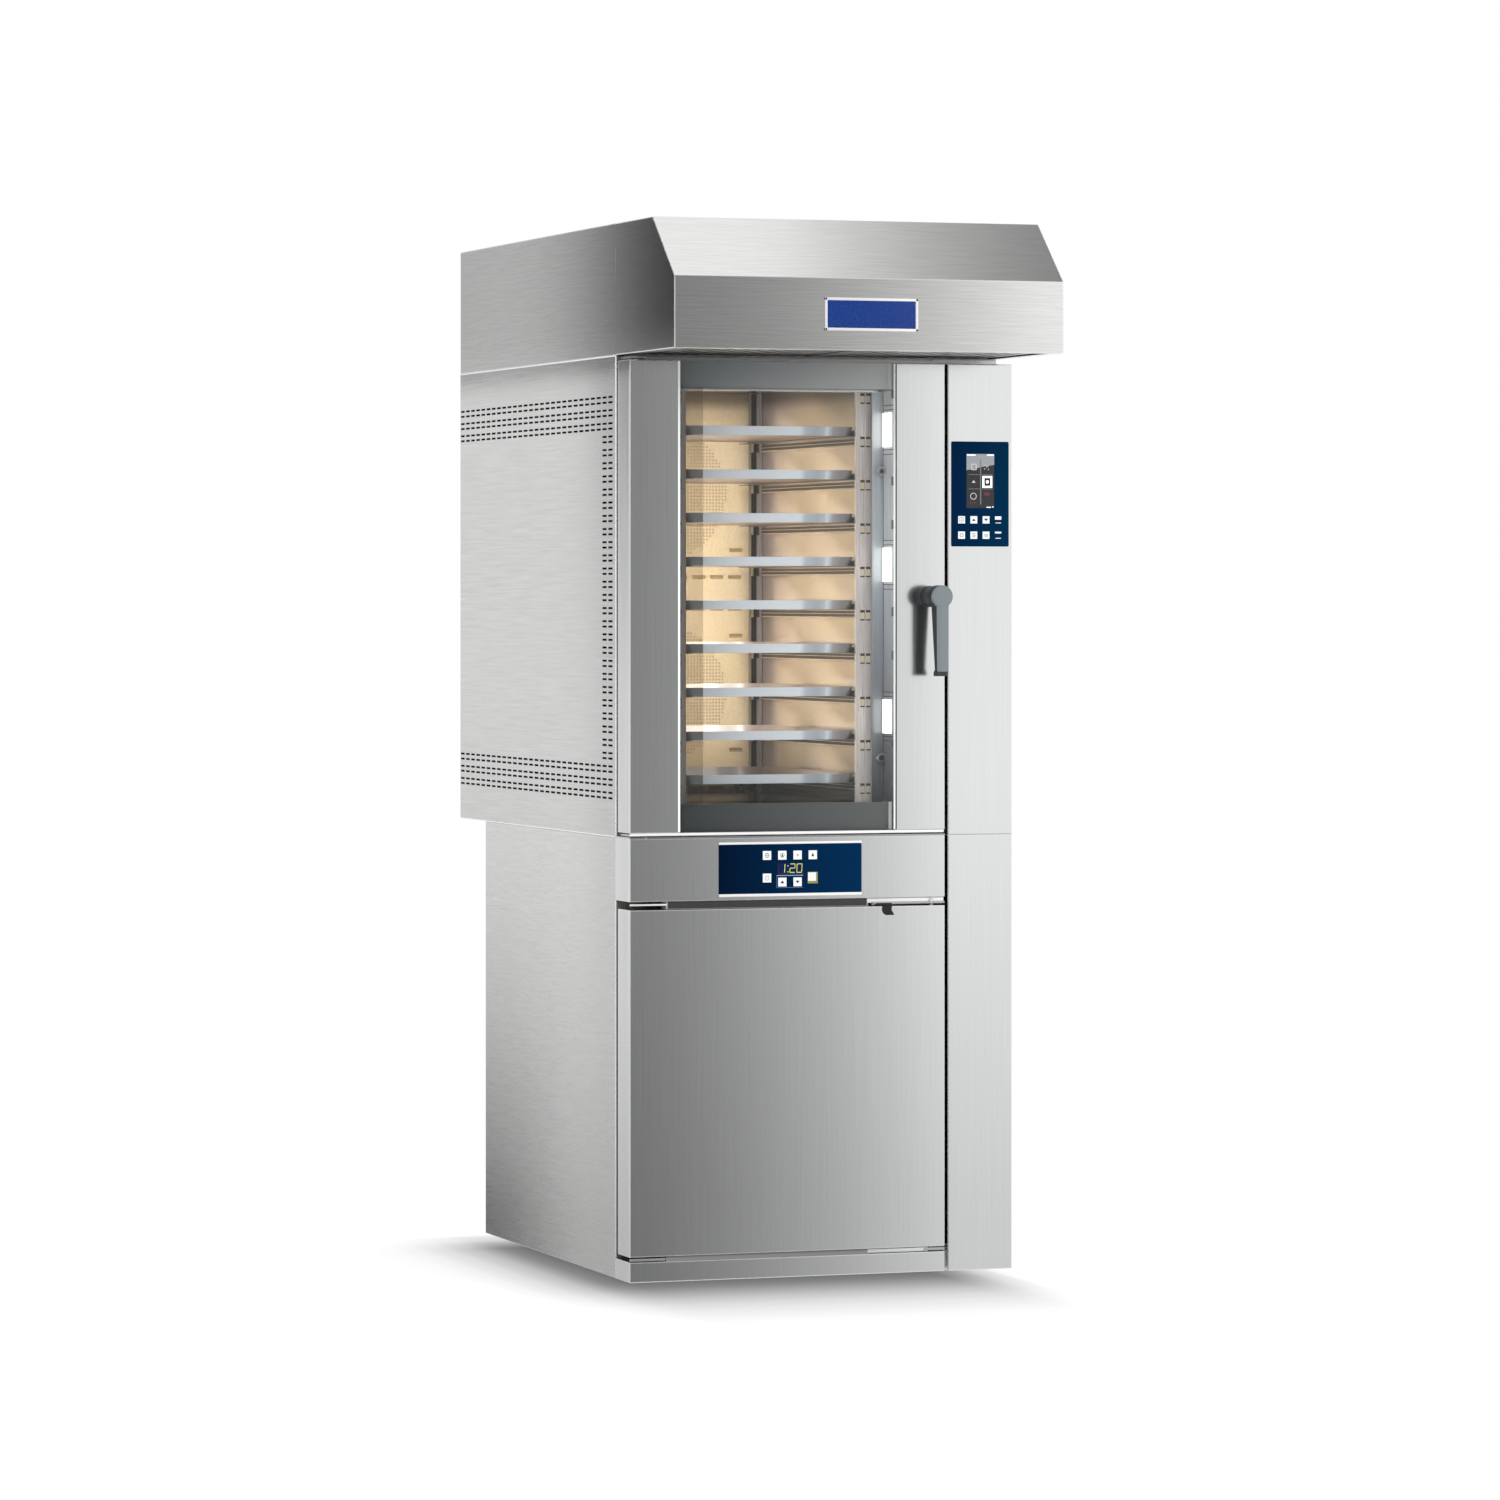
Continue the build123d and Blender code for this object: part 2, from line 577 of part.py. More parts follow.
def fan_baffle():
    """Sheet in front of the fans: round intake grids, oblong outlet slots and folded side edges."""
    x0 = MOUTH_LEFT + BAFFLE_SIDE_GAP
    x1 = MOUTH_RIGHT - BAFFLE_SIDE_GAP
    sheet = block(x0, x1, BAFFLE_Y, BAFFLE_Y + SHEET, FLOOR_Z, CEILING_Z)
    sheet += block(x0, x0 + SHEET, BAFFLE_Y, BAFFLE_Y + BAFFLE_FOLD, FLOOR_Z, CEILING_Z)
    sheet += block(x1 - SHEET, x1, BAFFLE_Y, BAFFLE_Y + BAFFLE_FOLD, FLOOR_Z, CEILING_Z)
    holes = []
    reach = int(INTAKE_RADIUS / INTAKE_PITCH)
    for centre_z in FAN_HEIGHTS:
        for row in range(-reach, reach + 1):
            for column in range(-reach, reach + 1):
                x = column * INTAKE_PITCH
                z = row * INTAKE_PITCH
                if math.hypot(x, z) < INTAKE_RADIUS:
                    holes.append(oblong(MOUTH_MID + x, centre_z + z, INTAKE_HOLE, INTAKE_HOLE))
        for x in (-163, 163):
            for z in (-133, 133):
                holes.append(oblong(MOUTH_MID + x, centre_z + z, *OUTLET))
    for offset in (-37, 37):
        for column in range(-3, 5):
            x = MOUTH_MID + (column - 0.4) * OUTLET_PITCH
            holes.append(oblong(x, (FLOOR_Z + CEILING_Z) / 2 + offset, *OUTLET))
    for column in range(-4, 3):
        holes.append(oblong(MOUTH_MID + 35 + column * LOW_OUTLET_PITCH, FLOOR_Z + 11, *LOW_OUTLET))
    pipe_hole = rod("y", (STEAM_X, BAFFLE_Y - 1, STEAM_Z), STEAM_PIPE + FIT, SHEET + 2)
    return sheet - pipe_hole - holes


def oblong(x, z, width, height):
    """Cutter for one rectangular opening in the baffle."""
    half = width / 2
    up = height / 2
    return block(x - half, x + half, BAFFLE_Y - 1, BAFFLE_Y + 2 * SHEET, z - up, z + up)


POST_DEPTH = 13.5
POST_SLOT = 10.5
POST_SLOT_HEIGHT = 20
GUIDE_WIDTH = 24
GUIDE_HEIGHT = 12
REAR_POST_GAP = 14


def rack_post(x0, y0, facing):
    """Channel post with a pair of slots under each tray level."""
    x1 = x0 + POST_WIDTH
    y1 = y0 + POST_DEPTH
    opening = "+y" if facing < 0 else "-y"
    post = pan(x0, x1, y0, y1, FLOOR_Z, CEILING_Z, opening, bend=0)
    centre = (x0 + x1) / 2
    slots = []
    for z in TRAY_HEIGHTS:
        for side in (-1, 1):
            x = centre + side * (POST_SLOT / 2 + 1.5)
            slots.append(block(x - POST_SLOT / 2, x + POST_SLOT / 2, y0 - 1, y1 + 1, z - POST_SLOT_HEIGHT, z))
    return post - slots


def tray_rack():
    """Four slotted posts and an angle guide on each side of every tray level."""
    front_y = CHAMBER_Y + PLATE
    rear_y = BAFFLE_Y - REAR_POST_GAP - POST_DEPTH
    left_x = MOUTH_LEFT + POST_WALL_GAP
    right_x = MOUTH_RIGHT - POST_WALL_GAP - POST_WIDTH
    pieces = []
    for x in (left_x, right_x):
        pieces.append(rack_post(x, front_y, -1))
        pieces.append(rack_post(x, rear_y, 1))
    for z in TRAY_HEIGHTS:
        for side, edge in ((1, left_x + POST_WIDTH), (-1, right_x)):
            x0, x1 = sorted((edge, edge + side * GUIDE_WIDTH))
            shelf = block(x0, x1, front_y, rear_y + POST_DEPTH, z - SHEET, z)
            x0, x1 = sorted((edge, edge + side * SHEET))
            upstand = block(x0, x1, front_y, rear_y + POST_DEPTH, z - SHEET, z + GUIDE_HEIGHT)
            pieces.append(shelf + upstand)
    return pieces


def baking_tray(z):
    """One pressed tray with slanted sides and rounded corners."""

    def shell(thickness, height):
        base = RectangleRounded(
            TRAY_WIDTH - 2 * TRAY_SLANT - 2 * thickness,
            TRAY_LENGTH - 2 * TRAY_SLANT - 2 * thickness,
            TRAY_CORNER - thickness,
        )
        width = TRAY_WIDTH - 2 * thickness
        length = TRAY_LENGTH - 2 * thickness
        rim = RectangleRounded(width, length, TRAY_CORNER - thickness)
        return loft([Pos(0, 0, height) * base, Pos(0, 0, TRAY_RIM + height) * rim])

    tray = shell(0, 0) - shell(TRAY_SHEET, TRAY_SHEET)
    return Pos(MOUTH_MID, TRAY_Y + TRAY_LENGTH / 2, z) * tray


def baking_trays():
    """Trays on the guides, one on each level."""
    return [baking_tray(z) for z in TRAY_HEIGHTS]


HEATER_END = HEATER_TUBE + 1


def heater_terminals(centre_z):
    """Places of a heating element's two straight ends."""
    return [(MOUTH_MID + HEATER_RADIUS, centre_z), (MOUTH_MID - HEATER_RADIUS, centre_z)]


def heating_elements():
    """Ring elements round each fan wheel, three turns with two straight ends through the rear wall."""
    turns = 3
    turn_pitch = 22
    elements = []
    for z in FAN_HEIGHTS:
        element = None
        for turn in range(turns):
            y = CHAMBER_BACK - 35 - turn * turn_pitch
            ring = Plane(origin=(MOUTH_MID, y, z), z_dir=(0, 1, 0)) * Torus(HEATER_RADIUS, HEATER_TUBE)
            element = ring if element is None else element + ring
        first_y = CHAMBER_BACK - 35 - (turns - 1) * turn_pitch
        for x, height in heater_terminals(z):
            element += rod("y", (x, first_y - HEATER_TUBE, height), HEATER_END, BAY_Y + 25 - first_y)
        elements.append(element)
    return elements


def fan_wheel(centre_z):
    """Radial fan wheel: back plate, straight blades, front ring, hub and shaft."""
    plate_y = CHAMBER_BACK - 22
    front_y = plate_y - FAN_DEPTH
    plate = rod("y", (MOUTH_MID, plate_y, centre_z), FAN_RADIUS, 2)
    ring = tube("y", (MOUTH_MID, front_y - 2, centre_z), FAN_EYE, FAN_RADIUS, 2)
    hub = rod("y", (MOUTH_MID, plate_y - 25, centre_z), 25, 30)
    shaft = rod("y", (MOUTH_MID, plate_y, centre_z), FAN_SHAFT, BAY_Y + 70 - plate_y)
    wheel = plate + ring + hub + shaft
    depth = FAN_DEPTH + 1
    blade = block(FAN_EYE + 4, FAN_RADIUS - 3, -depth, 0, -1, 1)
    for index in range(FAN_BLADES):
        turn = Rot(0, 360 / FAN_BLADES * index, 0)
        wheel += Pos(MOUTH_MID, plate_y + 1, centre_z) * turn * blade
    return wheel


def fan_motors():
    """Two fan motors bolted to the insulated rear wall, with bores for the wheel shafts."""
    motors = []
    for z in FAN_HEIGHTS:
        flange = block(MOUTH_MID - 90, MOUTH_MID + 90, BAY_Y, BAY_Y + 5, z - 90, z + 90)
        body = rod("y", (MOUTH_MID, BAY_Y + 4, z), MOTOR_RADIUS, MOTOR_LENGTH)
        bore = rod("y", (MOUTH_MID, BAY_Y - 1, z), FAN_SHAFT + PIVOT_FIT, 80)
        motors.append(flange + body - bore)
    return motors


def steam_injector():
    """Two steam nozzles on the chamber floor, their pipe through the rear wall, and the water valve."""
    pipe_y = BAFFLE_Y - 26
    valve_y = BAY_Y + 40
    feed_x = service_places()[1][0]
    injector = rod("y", (STEAM_X, pipe_y, STEAM_Z), STEAM_PIPE, BAY_Y + 45 - pipe_y)
    injector += rod("x", (STEAM_X, pipe_y, STEAM_Z), STEAM_PIPE - 1, NOZZLE_PITCH)
    for x in (STEAM_X, STEAM_X + NOZZLE_PITCH):
        injector += rod("z", (x, pipe_y, FLOOR_Z), NOZZLE_RADIUS, 33)
    injector += block(STEAM_X - 25, STEAM_X + 25, valve_y, valve_y + 60, STEAM_Z - 25, STEAM_Z + 45)
    injector += rod("y", (STEAM_X, valve_y + 59, STEAM_Z), STEAM_PIPE, SERVICE_Y - valve_y - 59)
    injector += Pos(STEAM_X, SERVICE_Y, STEAM_Z) * Sphere(STEAM_PIPE)
    injector += rod("x", (STEAM_X, SERVICE_Y, STEAM_Z), STEAM_PIPE, feed_x - STEAM_X)
    injector += rod("z", (feed_x, SERVICE_Y, BASE_TOP + 30), STEAM_PIPE + 1, STEAM_Z - BASE_TOP - 22)
    return injector


def service_places():
    """Places across the width of the cable gland, the water nipple and the drain stub, with their radii."""
    return [(RIGHT - 120, GLAND_BORE + 8), (RIGHT - 240, NIPPLE_RADIUS), (DRAIN_X, DRAIN_RADIUS)]


def service_connections():
    """Cable gland, water nipple and drain stub under the rear overhang, each held by a nut."""
    low = OVEN_LOW - CONNECTION_DROP
    (gland_x, gland_radius), (nipple_x, nipple_radius), (drain_x, drain_radius) = service_places()
    gland = rod("z", (gland_x, SERVICE_Y, low), gland_radius, BASE_TOP - low + 8)
    gland += rod("z", (gland_x, SERVICE_Y, BASE_TOP), gland_radius + 5, 6)
    gland += rod("z", (gland_x, SERVICE_Y, OVEN_LOW - NUT_HEIGHT), gland_radius + 5, NUT_HEIGHT)
    gland -= rod("z", (gland_x, SERVICE_Y, low - 1), GLAND_BORE, BASE_TOP - low + 20)
    nipple = rod("z", (nipple_x, SERVICE_Y, low), nipple_radius, BASE_TOP - low + 30)
    nipple += rod("z", (nipple_x, SERVICE_Y, BASE_TOP), nipple_radius + 5, 6)
    nipple += rod("z", (nipple_x, SERVICE_Y, OVEN_LOW - NUT_HEIGHT), nipple_radius + 5, NUT_HEIGHT)
    nipple -= rod("z", (nipple_x, SERVICE_Y, low - 1), nipple_radius - 4, BASE_TOP - low + 26)
    pipe_z = DRAIN_PIPE_Z
    drop = rod("z", (drain_x, SERVICE_Y, low), drain_radius, pipe_z - low + drain_radius)
    drop += rod("z", (drain_x, SERVICE_Y, BASE_TOP), drain_radius + 4, 2)
    drop += rod("z", (drain_x, SERVICE_Y, OVEN_LOW - NUT_HEIGHT), drain_radius + 5, NUT_HEIGHT)
    run = rod("y", (drain_x, DRAIN_INLET_Y, pipe_z), drain_radius, SERVICE_Y - DRAIN_INLET_Y)
    rise_low = pipe_z - drain_radius
    rise = rod("z", (drain_x, DRAIN_INLET_Y, rise_low), drain_radius, FLOOR_Z - rise_low)
    bore = drain_radius - 2
    drain = drop + run + rise
    drain -= rod("z", (drain_x, SERVICE_Y, low - 1), bore, pipe_z - low + bore)
    drain -= rod("y", (drain_x, DRAIN_INLET_Y, pipe_z), bore, SERVICE_Y - DRAIN_INLET_Y)
    drain -= rod("z", (drain_x, DRAIN_INLET_Y, pipe_z - bore), bore, FLOOR_Z)
    return gland, nipple, drain


DUCT_TOP = HOOD_LOW + 45
DAMPER_Z = DUCT_TOP - 20
DAMPER_SPINDLE = 3


def vent_duct():
    """Steam vent from the chamber's ceiling into the hood, with the damper's drive box on its side."""
    outer = VENT_RADIUS + SHEET
    duct = rod("z", (MOUTH_MID, VENT_Y, CEILING_Z), outer, DUCT_TOP - CEILING_Z)
    duct += rod("z", (MOUTH_MID, VENT_Y, HOOD_LOW + SHEET), outer + 12, 2)
    duct -= rod("z", (MOUTH_MID, VENT_Y, CEILING_Z - 1), VENT_RADIUS, DUCT_TOP - CEILING_Z + 2)
    drive = block(MOUTH_MID, MOUTH_MID + outer + 42, VENT_Y - 20, VENT_Y + 20, DAMPER_Z - 18, DAMPER_Z + 20)
    drive -= rod("z", (MOUTH_MID, VENT_Y, DAMPER_Z - 30), outer, 60)
    bore = rod("x", (MOUTH_MID - 50, VENT_Y, DAMPER_Z), DAMPER_SPINDLE + PIVOT_FIT, 100)
    return duct - bore, drive - bore


def vent_damper():
    """Butterfly flap on its spindle."""
    flap = rod("z", (MOUTH_MID, VENT_Y, DAMPER_Z - 1), VENT_RADIUS - 0.6, 2)
    length = 2 * VENT_RADIUS + 24
    spindle = rod("x", (MOUTH_MID - length / 2, VENT_Y, DAMPER_Z), DAMPER_SPINDLE, length)
    return flap + spindle


# Right-hand column and control panels

UPPER_PANEL_X = (COLUMN_LEFT + RIGHT) / 2
UPPER_PANEL_Z = DOOR_LOW + UPPER_PANEL_ABOVE_DOOR
LOWER_PANEL_X = LEFT + LOWER_PANEL_LEFT + LOWER_PANEL_WIDTH / 2
LOWER_PANEL_Z = (FASCIA_LOW + OVEN_LOW - LOWER_PANEL_HEIGHT) / 2 - 3
BOARD_Y = FRONT + 3
BOARD_THICK = 1.6


def upper_keys():
    """Names, places and side of the upper panel's keys, left to right and top to bottom."""
    rows = [UPPER_PANEL_Z + up for up in reversed(UPPER_KEY_ROWS)]
    columns = [UPPER_PANEL_X + (index - 1.5) * UPPER_KEY_PITCH for index in range(3)]
    names = [["menu", "up", "down"], ["start", "fan", "steam"]]
    keys = []
    for row_names, z in zip(names, rows):
        for name, x in zip(row_names, columns):
            keys.append((f"upper_key_{name}", x, z, UPPER_KEY_SIDE))
    return keys


def lower_keys():
    """Names, places and sides of the lower panel's keys."""
    middle = LOWER_PANEL_Z + LOWER_PANEL_HEIGHT / 2
    x = [LOWER_PANEL_X - 1 + (index - 1.5) * LOWER_KEY_PITCH for index in range(4)]
    top = middle + 30.6
    side = middle - 18.7
    low = middle - 28.1
    return [
        ("lower_key_heat", x[0], top, LOWER_KEY_SIDE),
        ("lower_key_humidity", x[1], top, LOWER_KEY_SIDE),
        ("lower_key_fan", x[2], top, LOWER_KEY_SIDE),
        ("lower_key_lamp", x[3], top, LOWER_KEY_SIDE),
        ("lower_key_timer", x[0], side, LOWER_KEY_SIDE),
        ("lower_key_up", x[1], low, LOWER_KEY_SIDE),
        ("lower_key_down", x[2], low, LOWER_KEY_SIDE),
        ("lower_key_start", x[3], side, START_KEY_SIDE),
    ]


def key(x, z, side):
    """Square key cap with a lip behind the panel that keeps it in."""
    half = side / 2
    lip = half + KEY_LIP
    cap = block(x - half, x + half, FRONT - PANEL_THICK - KEY_PROUD, FRONT + 1, z - half, z + half)
    cap = fillet(cap.edges().filter_by(Axis.Y), 1.5)
    return cap + block(x - lip, x + lip, FRONT + FIT, FRONT + KEY_BACK, z - lip, z + lip)


def control_panel(x0, x1, z0, z1, keys, screen):
    """Front plate with a window for each key, and one for the screen between its two corners."""
    y0 = FRONT - PANEL_THICK
    plate = block(x0, x1, y0, FRONT, z0, z1)
    plate = fillet(plate.edges().filter_by(Axis.Y), 3)
    cutters = []
    for _, x, z, side in keys:
        half = side / 2 + FIT
        cutters.append(block(x - half, x + half, y0 - 1, FRONT + 1, z - half, z + half))
    (sx0, sz0), (sx1, sz1) = screen
    cutters.append(block(sx0, sx1, y0 - 1, FRONT + 1, sz0, sz1))
    return plate - cutters


def screen_corners():
    """Corners of the upper screen and of the clock screen, as (x, z) pairs."""
    width, height = UPPER_SCREEN
    low = UPPER_PANEL_Z + UPPER_SCREEN_UP
    upper = ((UPPER_PANEL_X - width / 2, low), (UPPER_PANEL_X + width / 2, low + height))
    width, height = CLOCK_SCREEN
    middle = LOWER_PANEL_Z + LOWER_PANEL_HEIGHT / 2 + 2
    clock = (
        (LOWER_PANEL_X - width / 2, middle - height / 2),
        (LOWER_PANEL_X + width / 2, middle + height / 2),
    )
    return upper, clock


def upper_panel_box():
    """Left, right, low and top edges of the upper control panel."""
    half = UPPER_PANEL_WIDTH / 2
    return UPPER_PANEL_X - half, UPPER_PANEL_X + half, UPPER_PANEL_Z, UPPER_PANEL_Z + UPPER_PANEL_HEIGHT


def lower_panel_box():
    """Left, right, low and top edges of the lower control panel."""
    half = LOWER_PANEL_WIDTH / 2
    return LOWER_PANEL_X - half, LOWER_PANEL_X + half, LOWER_PANEL_Z, LOWER_PANEL_Z + LOWER_PANEL_HEIGHT


def panel_cutout(box):
    """Cutter for the opening behind a control panel, smaller than the panel all round."""
    x0, x1, z0, z1 = box
    rim = PANEL_OVERLAP
    return block(x0 + rim, x1 - rim, FRONT - 1, FRONT + 2 * SHEET, z0 + rim, z1 - rim)


def display_screens():
    """Display module of the upper panel and clock window of the lower panel."""
    screens = []
    for (x0, z0), (x1, z1) in screen_corners():
        screens.append(block(x0, x1, FRONT - PANEL_THICK + 0.4, BOARD_Y, z0, z1))
    return screens


def board(box):
    """Keypad board behind a control panel, on four spacers."""
    x0, x1, z0, z1 = box
    rim = PANEL_OVERLAP - 5
    plate = block(x0 + rim, x1 - rim, BOARD_Y, BOARD_Y + BOARD_THICK, z0 + rim, z1 - rim)
    for x in (x0 + rim + 2.5, x1 - rim - 2.5):
        for z in (z0 + rim + 2.5, z1 - rim - 2.5):
            plate += rod("y", (x, FRONT + SHEET, z), 2, BOARD_Y - FRONT - SHEET)
    return plate


def control_boards():
    """Both keypad boards, and the power plate with contactors on the column's right wall."""
    plate_x = RIGHT - SHEET - 2
    low = UPPER_PANEL_Z - 260
    power = block(plate_x, RIGHT - SHEET, FRONT + 25, CASING_Y - 5, low, low + 220)
    for row in range(3):
        z = low + 20 + row * 65
        power += block(plate_x - 60, plate_x, FRONT + 35, FRONT + 75, z, z + 50)
    return board(upper_panel_box()), board(lower_panel_box()), power


def column_upper():
    """Upper cover of the right-hand column, folded to a channel with a closed top."""
    cover = pan(COLUMN_LEFT, RIGHT, FRONT, CASING_Y, OVEN_LOW, DOOR_TOP, "+y")
    return cover - panel_cutout(upper_panel_box())


def column_lower():
    """Lower cover of the right-hand column, down to the floor."""
    return pan(COLUMN_LEFT, RIGHT, FRONT, CASING_Y, 0, OVEN_LOW, "+y")


# Oven door


def door_stile(x0, x1):
    """Folded door stile and its inner lining."""
    shell = pan(x0, x1, FRONT, DOOR_BACK - SHEET, DOOR_LOW, DOOR_TOP, "+y")
    lining = block(x0, x1, DOOR_BACK - SHEET, DOOR_BACK, DOOR_LOW, DOOR_TOP)
    return shell, lining


def lamp_blocks(margin, x0, x1):
    """Boxes at the three lamps' places in the right stile's inner wall."""
    y0 = FRONT + LAMP_FRONT - margin
    y1 = FRONT + LAMP_FRONT + LAMP_DEEP + margin
    half = LAMP_HIGH / 2 + margin
    heights = [DOOR_LOW + height for height in LAMP_HEIGHTS]
    return [block(x0, x1, y0, y1, z - half, z + half) for z in heights]


def glass_clamp(height):
    """Round clamp on the right stile that holds the inner pane from the front."""
    z = DOOR_LOW + height
    y1 = DOOR_BACK - INNER_GLASS_BACK - GLASS_THICK
    knob = rod("y", (GLASS_RIGHT - CLAMP_RADIUS, y1 - 16, z), CLAMP_RADIUS, 16)
    return knob + block(GLASS_RIGHT - CLAMP_RADIUS, GLASS_RIGHT, y1 - 12, y1 - 5, z - 6, z + 6)


def door_rail(z0, z1):
    """Box section between the stiles."""
    y0 = FRONT + RAIL_INSET
    x0 = GLASS_LEFT
    x1 = GLASS_RIGHT
    rail = block(x0, x1, y0, DOOR_BACK, z0, z1)
    return rail - block(x0 - 1, x1 + 1, y0 + SHEET, DOOR_BACK - SHEET, z0 + SHEET, z1 - SHEET)


def oven_door_shell():
    """Left and right stiles, two rails, hinge bushes, the handle's bush and the inner pane's clamps."""
    left_shell, left_lining = door_stile(LEFT, GLASS_LEFT)
    right_shell, right_lining = door_stile(GLASS_RIGHT, DOOR_RIGHT)
    pivot = (LEFT + HINGE_IN, FRONT + HINGE_BACK)
    left_shell -= rod("z", (*pivot, DOOR_LOW - 1), HINGE_PIN + PIVOT_FIT, DOOR_TOP - DOOR_LOW + 2)
    right_shell -= lamp_blocks(0, GLASS_RIGHT - 1, GLASS_RIGHT + 2 * SHEET)
    spindle_hole = rod("y", (HANDLE_X, FRONT - 1, DOOR_MID), SPINDLE_RADIUS + PIVOT_FIT, DOOR_THICK + 2)
    right_shell -= spindle_hole
    right_lining -= spindle_hole
    handle_bush = tube(
        "y",
        (HANDLE_X, FRONT + SHEET, DOOR_MID),
        SPINDLE_RADIUS + PIVOT_FIT,
        SPINDLE_RADIUS * 2,
        DOOR_THICK - 2 * SHEET,
    )
    bushes = [
        tube("z", (*pivot, z), HINGE_PIN + PIVOT_FIT, HINGE_PIN * 2, HINGE_ENGAGE)
        for z in (DOOR_LOW + SHEET, DOOR_TOP - SHEET - HINGE_ENGAGE)
    ]
    rails = [door_rail(DOOR_TOP - RAIL_TOP, DOOR_TOP), door_rail(DOOR_LOW, DOOR_LOW + RAIL_LOW)]
    clamps = [glass_clamp(height) for height in CLAMP_HEIGHTS]
    return [left_shell, left_lining, right_shell, right_lining, handle_bush, *bushes, *rails, *clamps]


def oven_door_glass():
    """Outer pane, flush between the stiles over the full height of the door."""
    y0 = FRONT + GLASS_INSET
    return block(GLASS_LEFT, GLASS_RIGHT, y0, y0 + GLASS_THICK, DOOR_LOW + GLASS_GAP, DOOR_TOP - GLASS_GAP)


def oven_door_inner_glass():
    """Inner pane between the stiles, which stands on the bottom rail."""
    y1 = DOOR_BACK - INNER_GLASS_BACK
    z0 = DOOR_LOW + RAIL_LOW
    z1 = DOOR_TOP - RAIL_TOP - FIT
    return block(GLASS_LEFT + FIT, GLASS_RIGHT - FIT, y1 - GLASS_THICK, y1, z0, z1)


def oven_door_lamps():
    """Three lamps set in the right stile's inner wall, each with a bezel over the edge of its window."""
    bodies = lamp_blocks(-FIT, GLASS_RIGHT - 1, GLASS_RIGHT + LAMP_BODY)
    bezels = lamp_blocks(LAMP_BEZEL, GLASS_RIGHT - 3, GLASS_RIGHT)
    return [body + bezel for body, bezel in zip(bodies, bezels)]


def door_handle():
    """Lever that hangs from a round cap on a long neck, with a small foot at its lower end."""
    x = HANDLE_X
    z = DOOR_MID
    face = FRONT - HANDLE_REACH
    tip = z - LEVER_LENGTH
    half = LEVER_WIDTH / 2
    tip_half = LEVER_TIP_WIDTH / 2
    front_view = [(x - half, z), (x + half, z), (x + tip_half, tip), (x - tip_half, tip)]
    side_view = [
        (face, z),
        (face + LEVER_DEEP, z),
        (face + LEVER_DEEP, z - CAP_RADIUS),
        (face + LEVER_TIP_DEEP + 3, tip + LEVER_FOOT + 2),
        (face + LEVER_TIP_DEEP + LEVER_FOOT, tip + LEVER_FOOT),
        (face + LEVER_TIP_DEEP + LEVER_FOOT, tip),
        (face + 3, tip),
    ]
    lever = prism("y", front_view, face, face + LEVER_DEEP + LEVER_FOOT)
    lever = lever & prism("x", side_view, x - LEVER_WIDTH, x + LEVER_WIDTH)
    lever = fillet(lever.edges().filter_by(lambda edge: edge.center().Z < z - 1), 1.5)
    cap = rod("y", (x, face, z), CAP_RADIUS, LEVER_DEEP)
    cap = fillet(cap.edges().sort_by(Axis.Y)[0], 4)
    neck = rod("y", (x, face + LEVER_DEEP - 1, z), NECK_RADIUS, HANDLE_REACH - LEVER_DEEP + 1 - FIT)
    bore = rod("y", (x, face + 20, z), SPINDLE_RADIUS, HANDLE_REACH)
    return lever + cap + neck - bore


def handle_spindle():
    """Spindle through the door and the latch cam behind it."""
    x = HANDLE_X
    z = DOOR_MID
    start = FRONT - HANDLE_REACH + 20
    cam_y = DOOR_BACK + 2
    spindle = rod("y", (x, start, z), SPINDLE_RADIUS, cam_y + CAM_THICK - start)
    cam = rod("y", (x, cam_y, z), CAM_WIDTH * 0.75, CAM_THICK)
    cam += block(x - CAM_WIDTH / 2, x + CAM_WIDTH / 2, cam_y, cam_y + CAM_THICK, z - CAM_REACH, z)
    return spindle + cam


def latch_keeper():
    """Keeper on the front frame that the cam presses against, with a sloped lead-in."""
    y0 = DOOR_BACK + 2 + CAM_THICK + FIT
    z0 = DOOR_MID - CAM_REACH - 10
    side = [(y0, z0 + 8), (y0, z0 + 22), (FRAME_Y, z0 + 34), (FRAME_Y, z0)]
    return prism("x", side, HANDLE_X - 18, HANDLE_X + 18)


def door_gaskets():
    """Seals on both front frames, and the dark draught strips above and below the proofer's door."""
    y0 = DOOR_BACK + FIT
    seal = 14
    x0 = GLASS_LEFT - 2.5
    x1 = GLASS_RIGHT + 3
    oven_seal = frame_bars(x0, x1, FLOOR_Z - 8, CEILING_Z + 2, seal, y0, FRAME_Y)
    x0, x1, z0, z1 = proofer_mouth()
    proofer_seal = frame_bars(x0 - 2, x1 + 2, z0 - 1, z1 + 1, seal - 2, y0, FRAME_Y)
    x0 = LEFT + 83.5
    x1 = LEFT + 551.5
    top_strip = block(x0, x1, FRONT + 4, FRONT + 34, PROOFER_DOOR_TOP + 0.8, FASCIA_LOW)
    low_strip = block(x0, x1, FRONT + 4, FRONT + 34, PLINTH_HEIGHT, PROOFER_DOOR_LOW - 0.8)
    return [*oven_seal, *proofer_seal, top_strip, low_strip]


def hinge_bracket(x0, x1, pin_x, pin_y, plate_z, pin_low, pin_high):
    """Flat hinge bracket that stands off the front frame and carries a pivot pin."""
    y0 = pin_y - 12
    plate = block(x0, x1, y0, FRAME_Y, plate_z, plate_z + HINGE_PLATE)
    return plate + rod("z", (pin_x, pin_y, pin_low), HINGE_PIN, pin_high - pin_low)


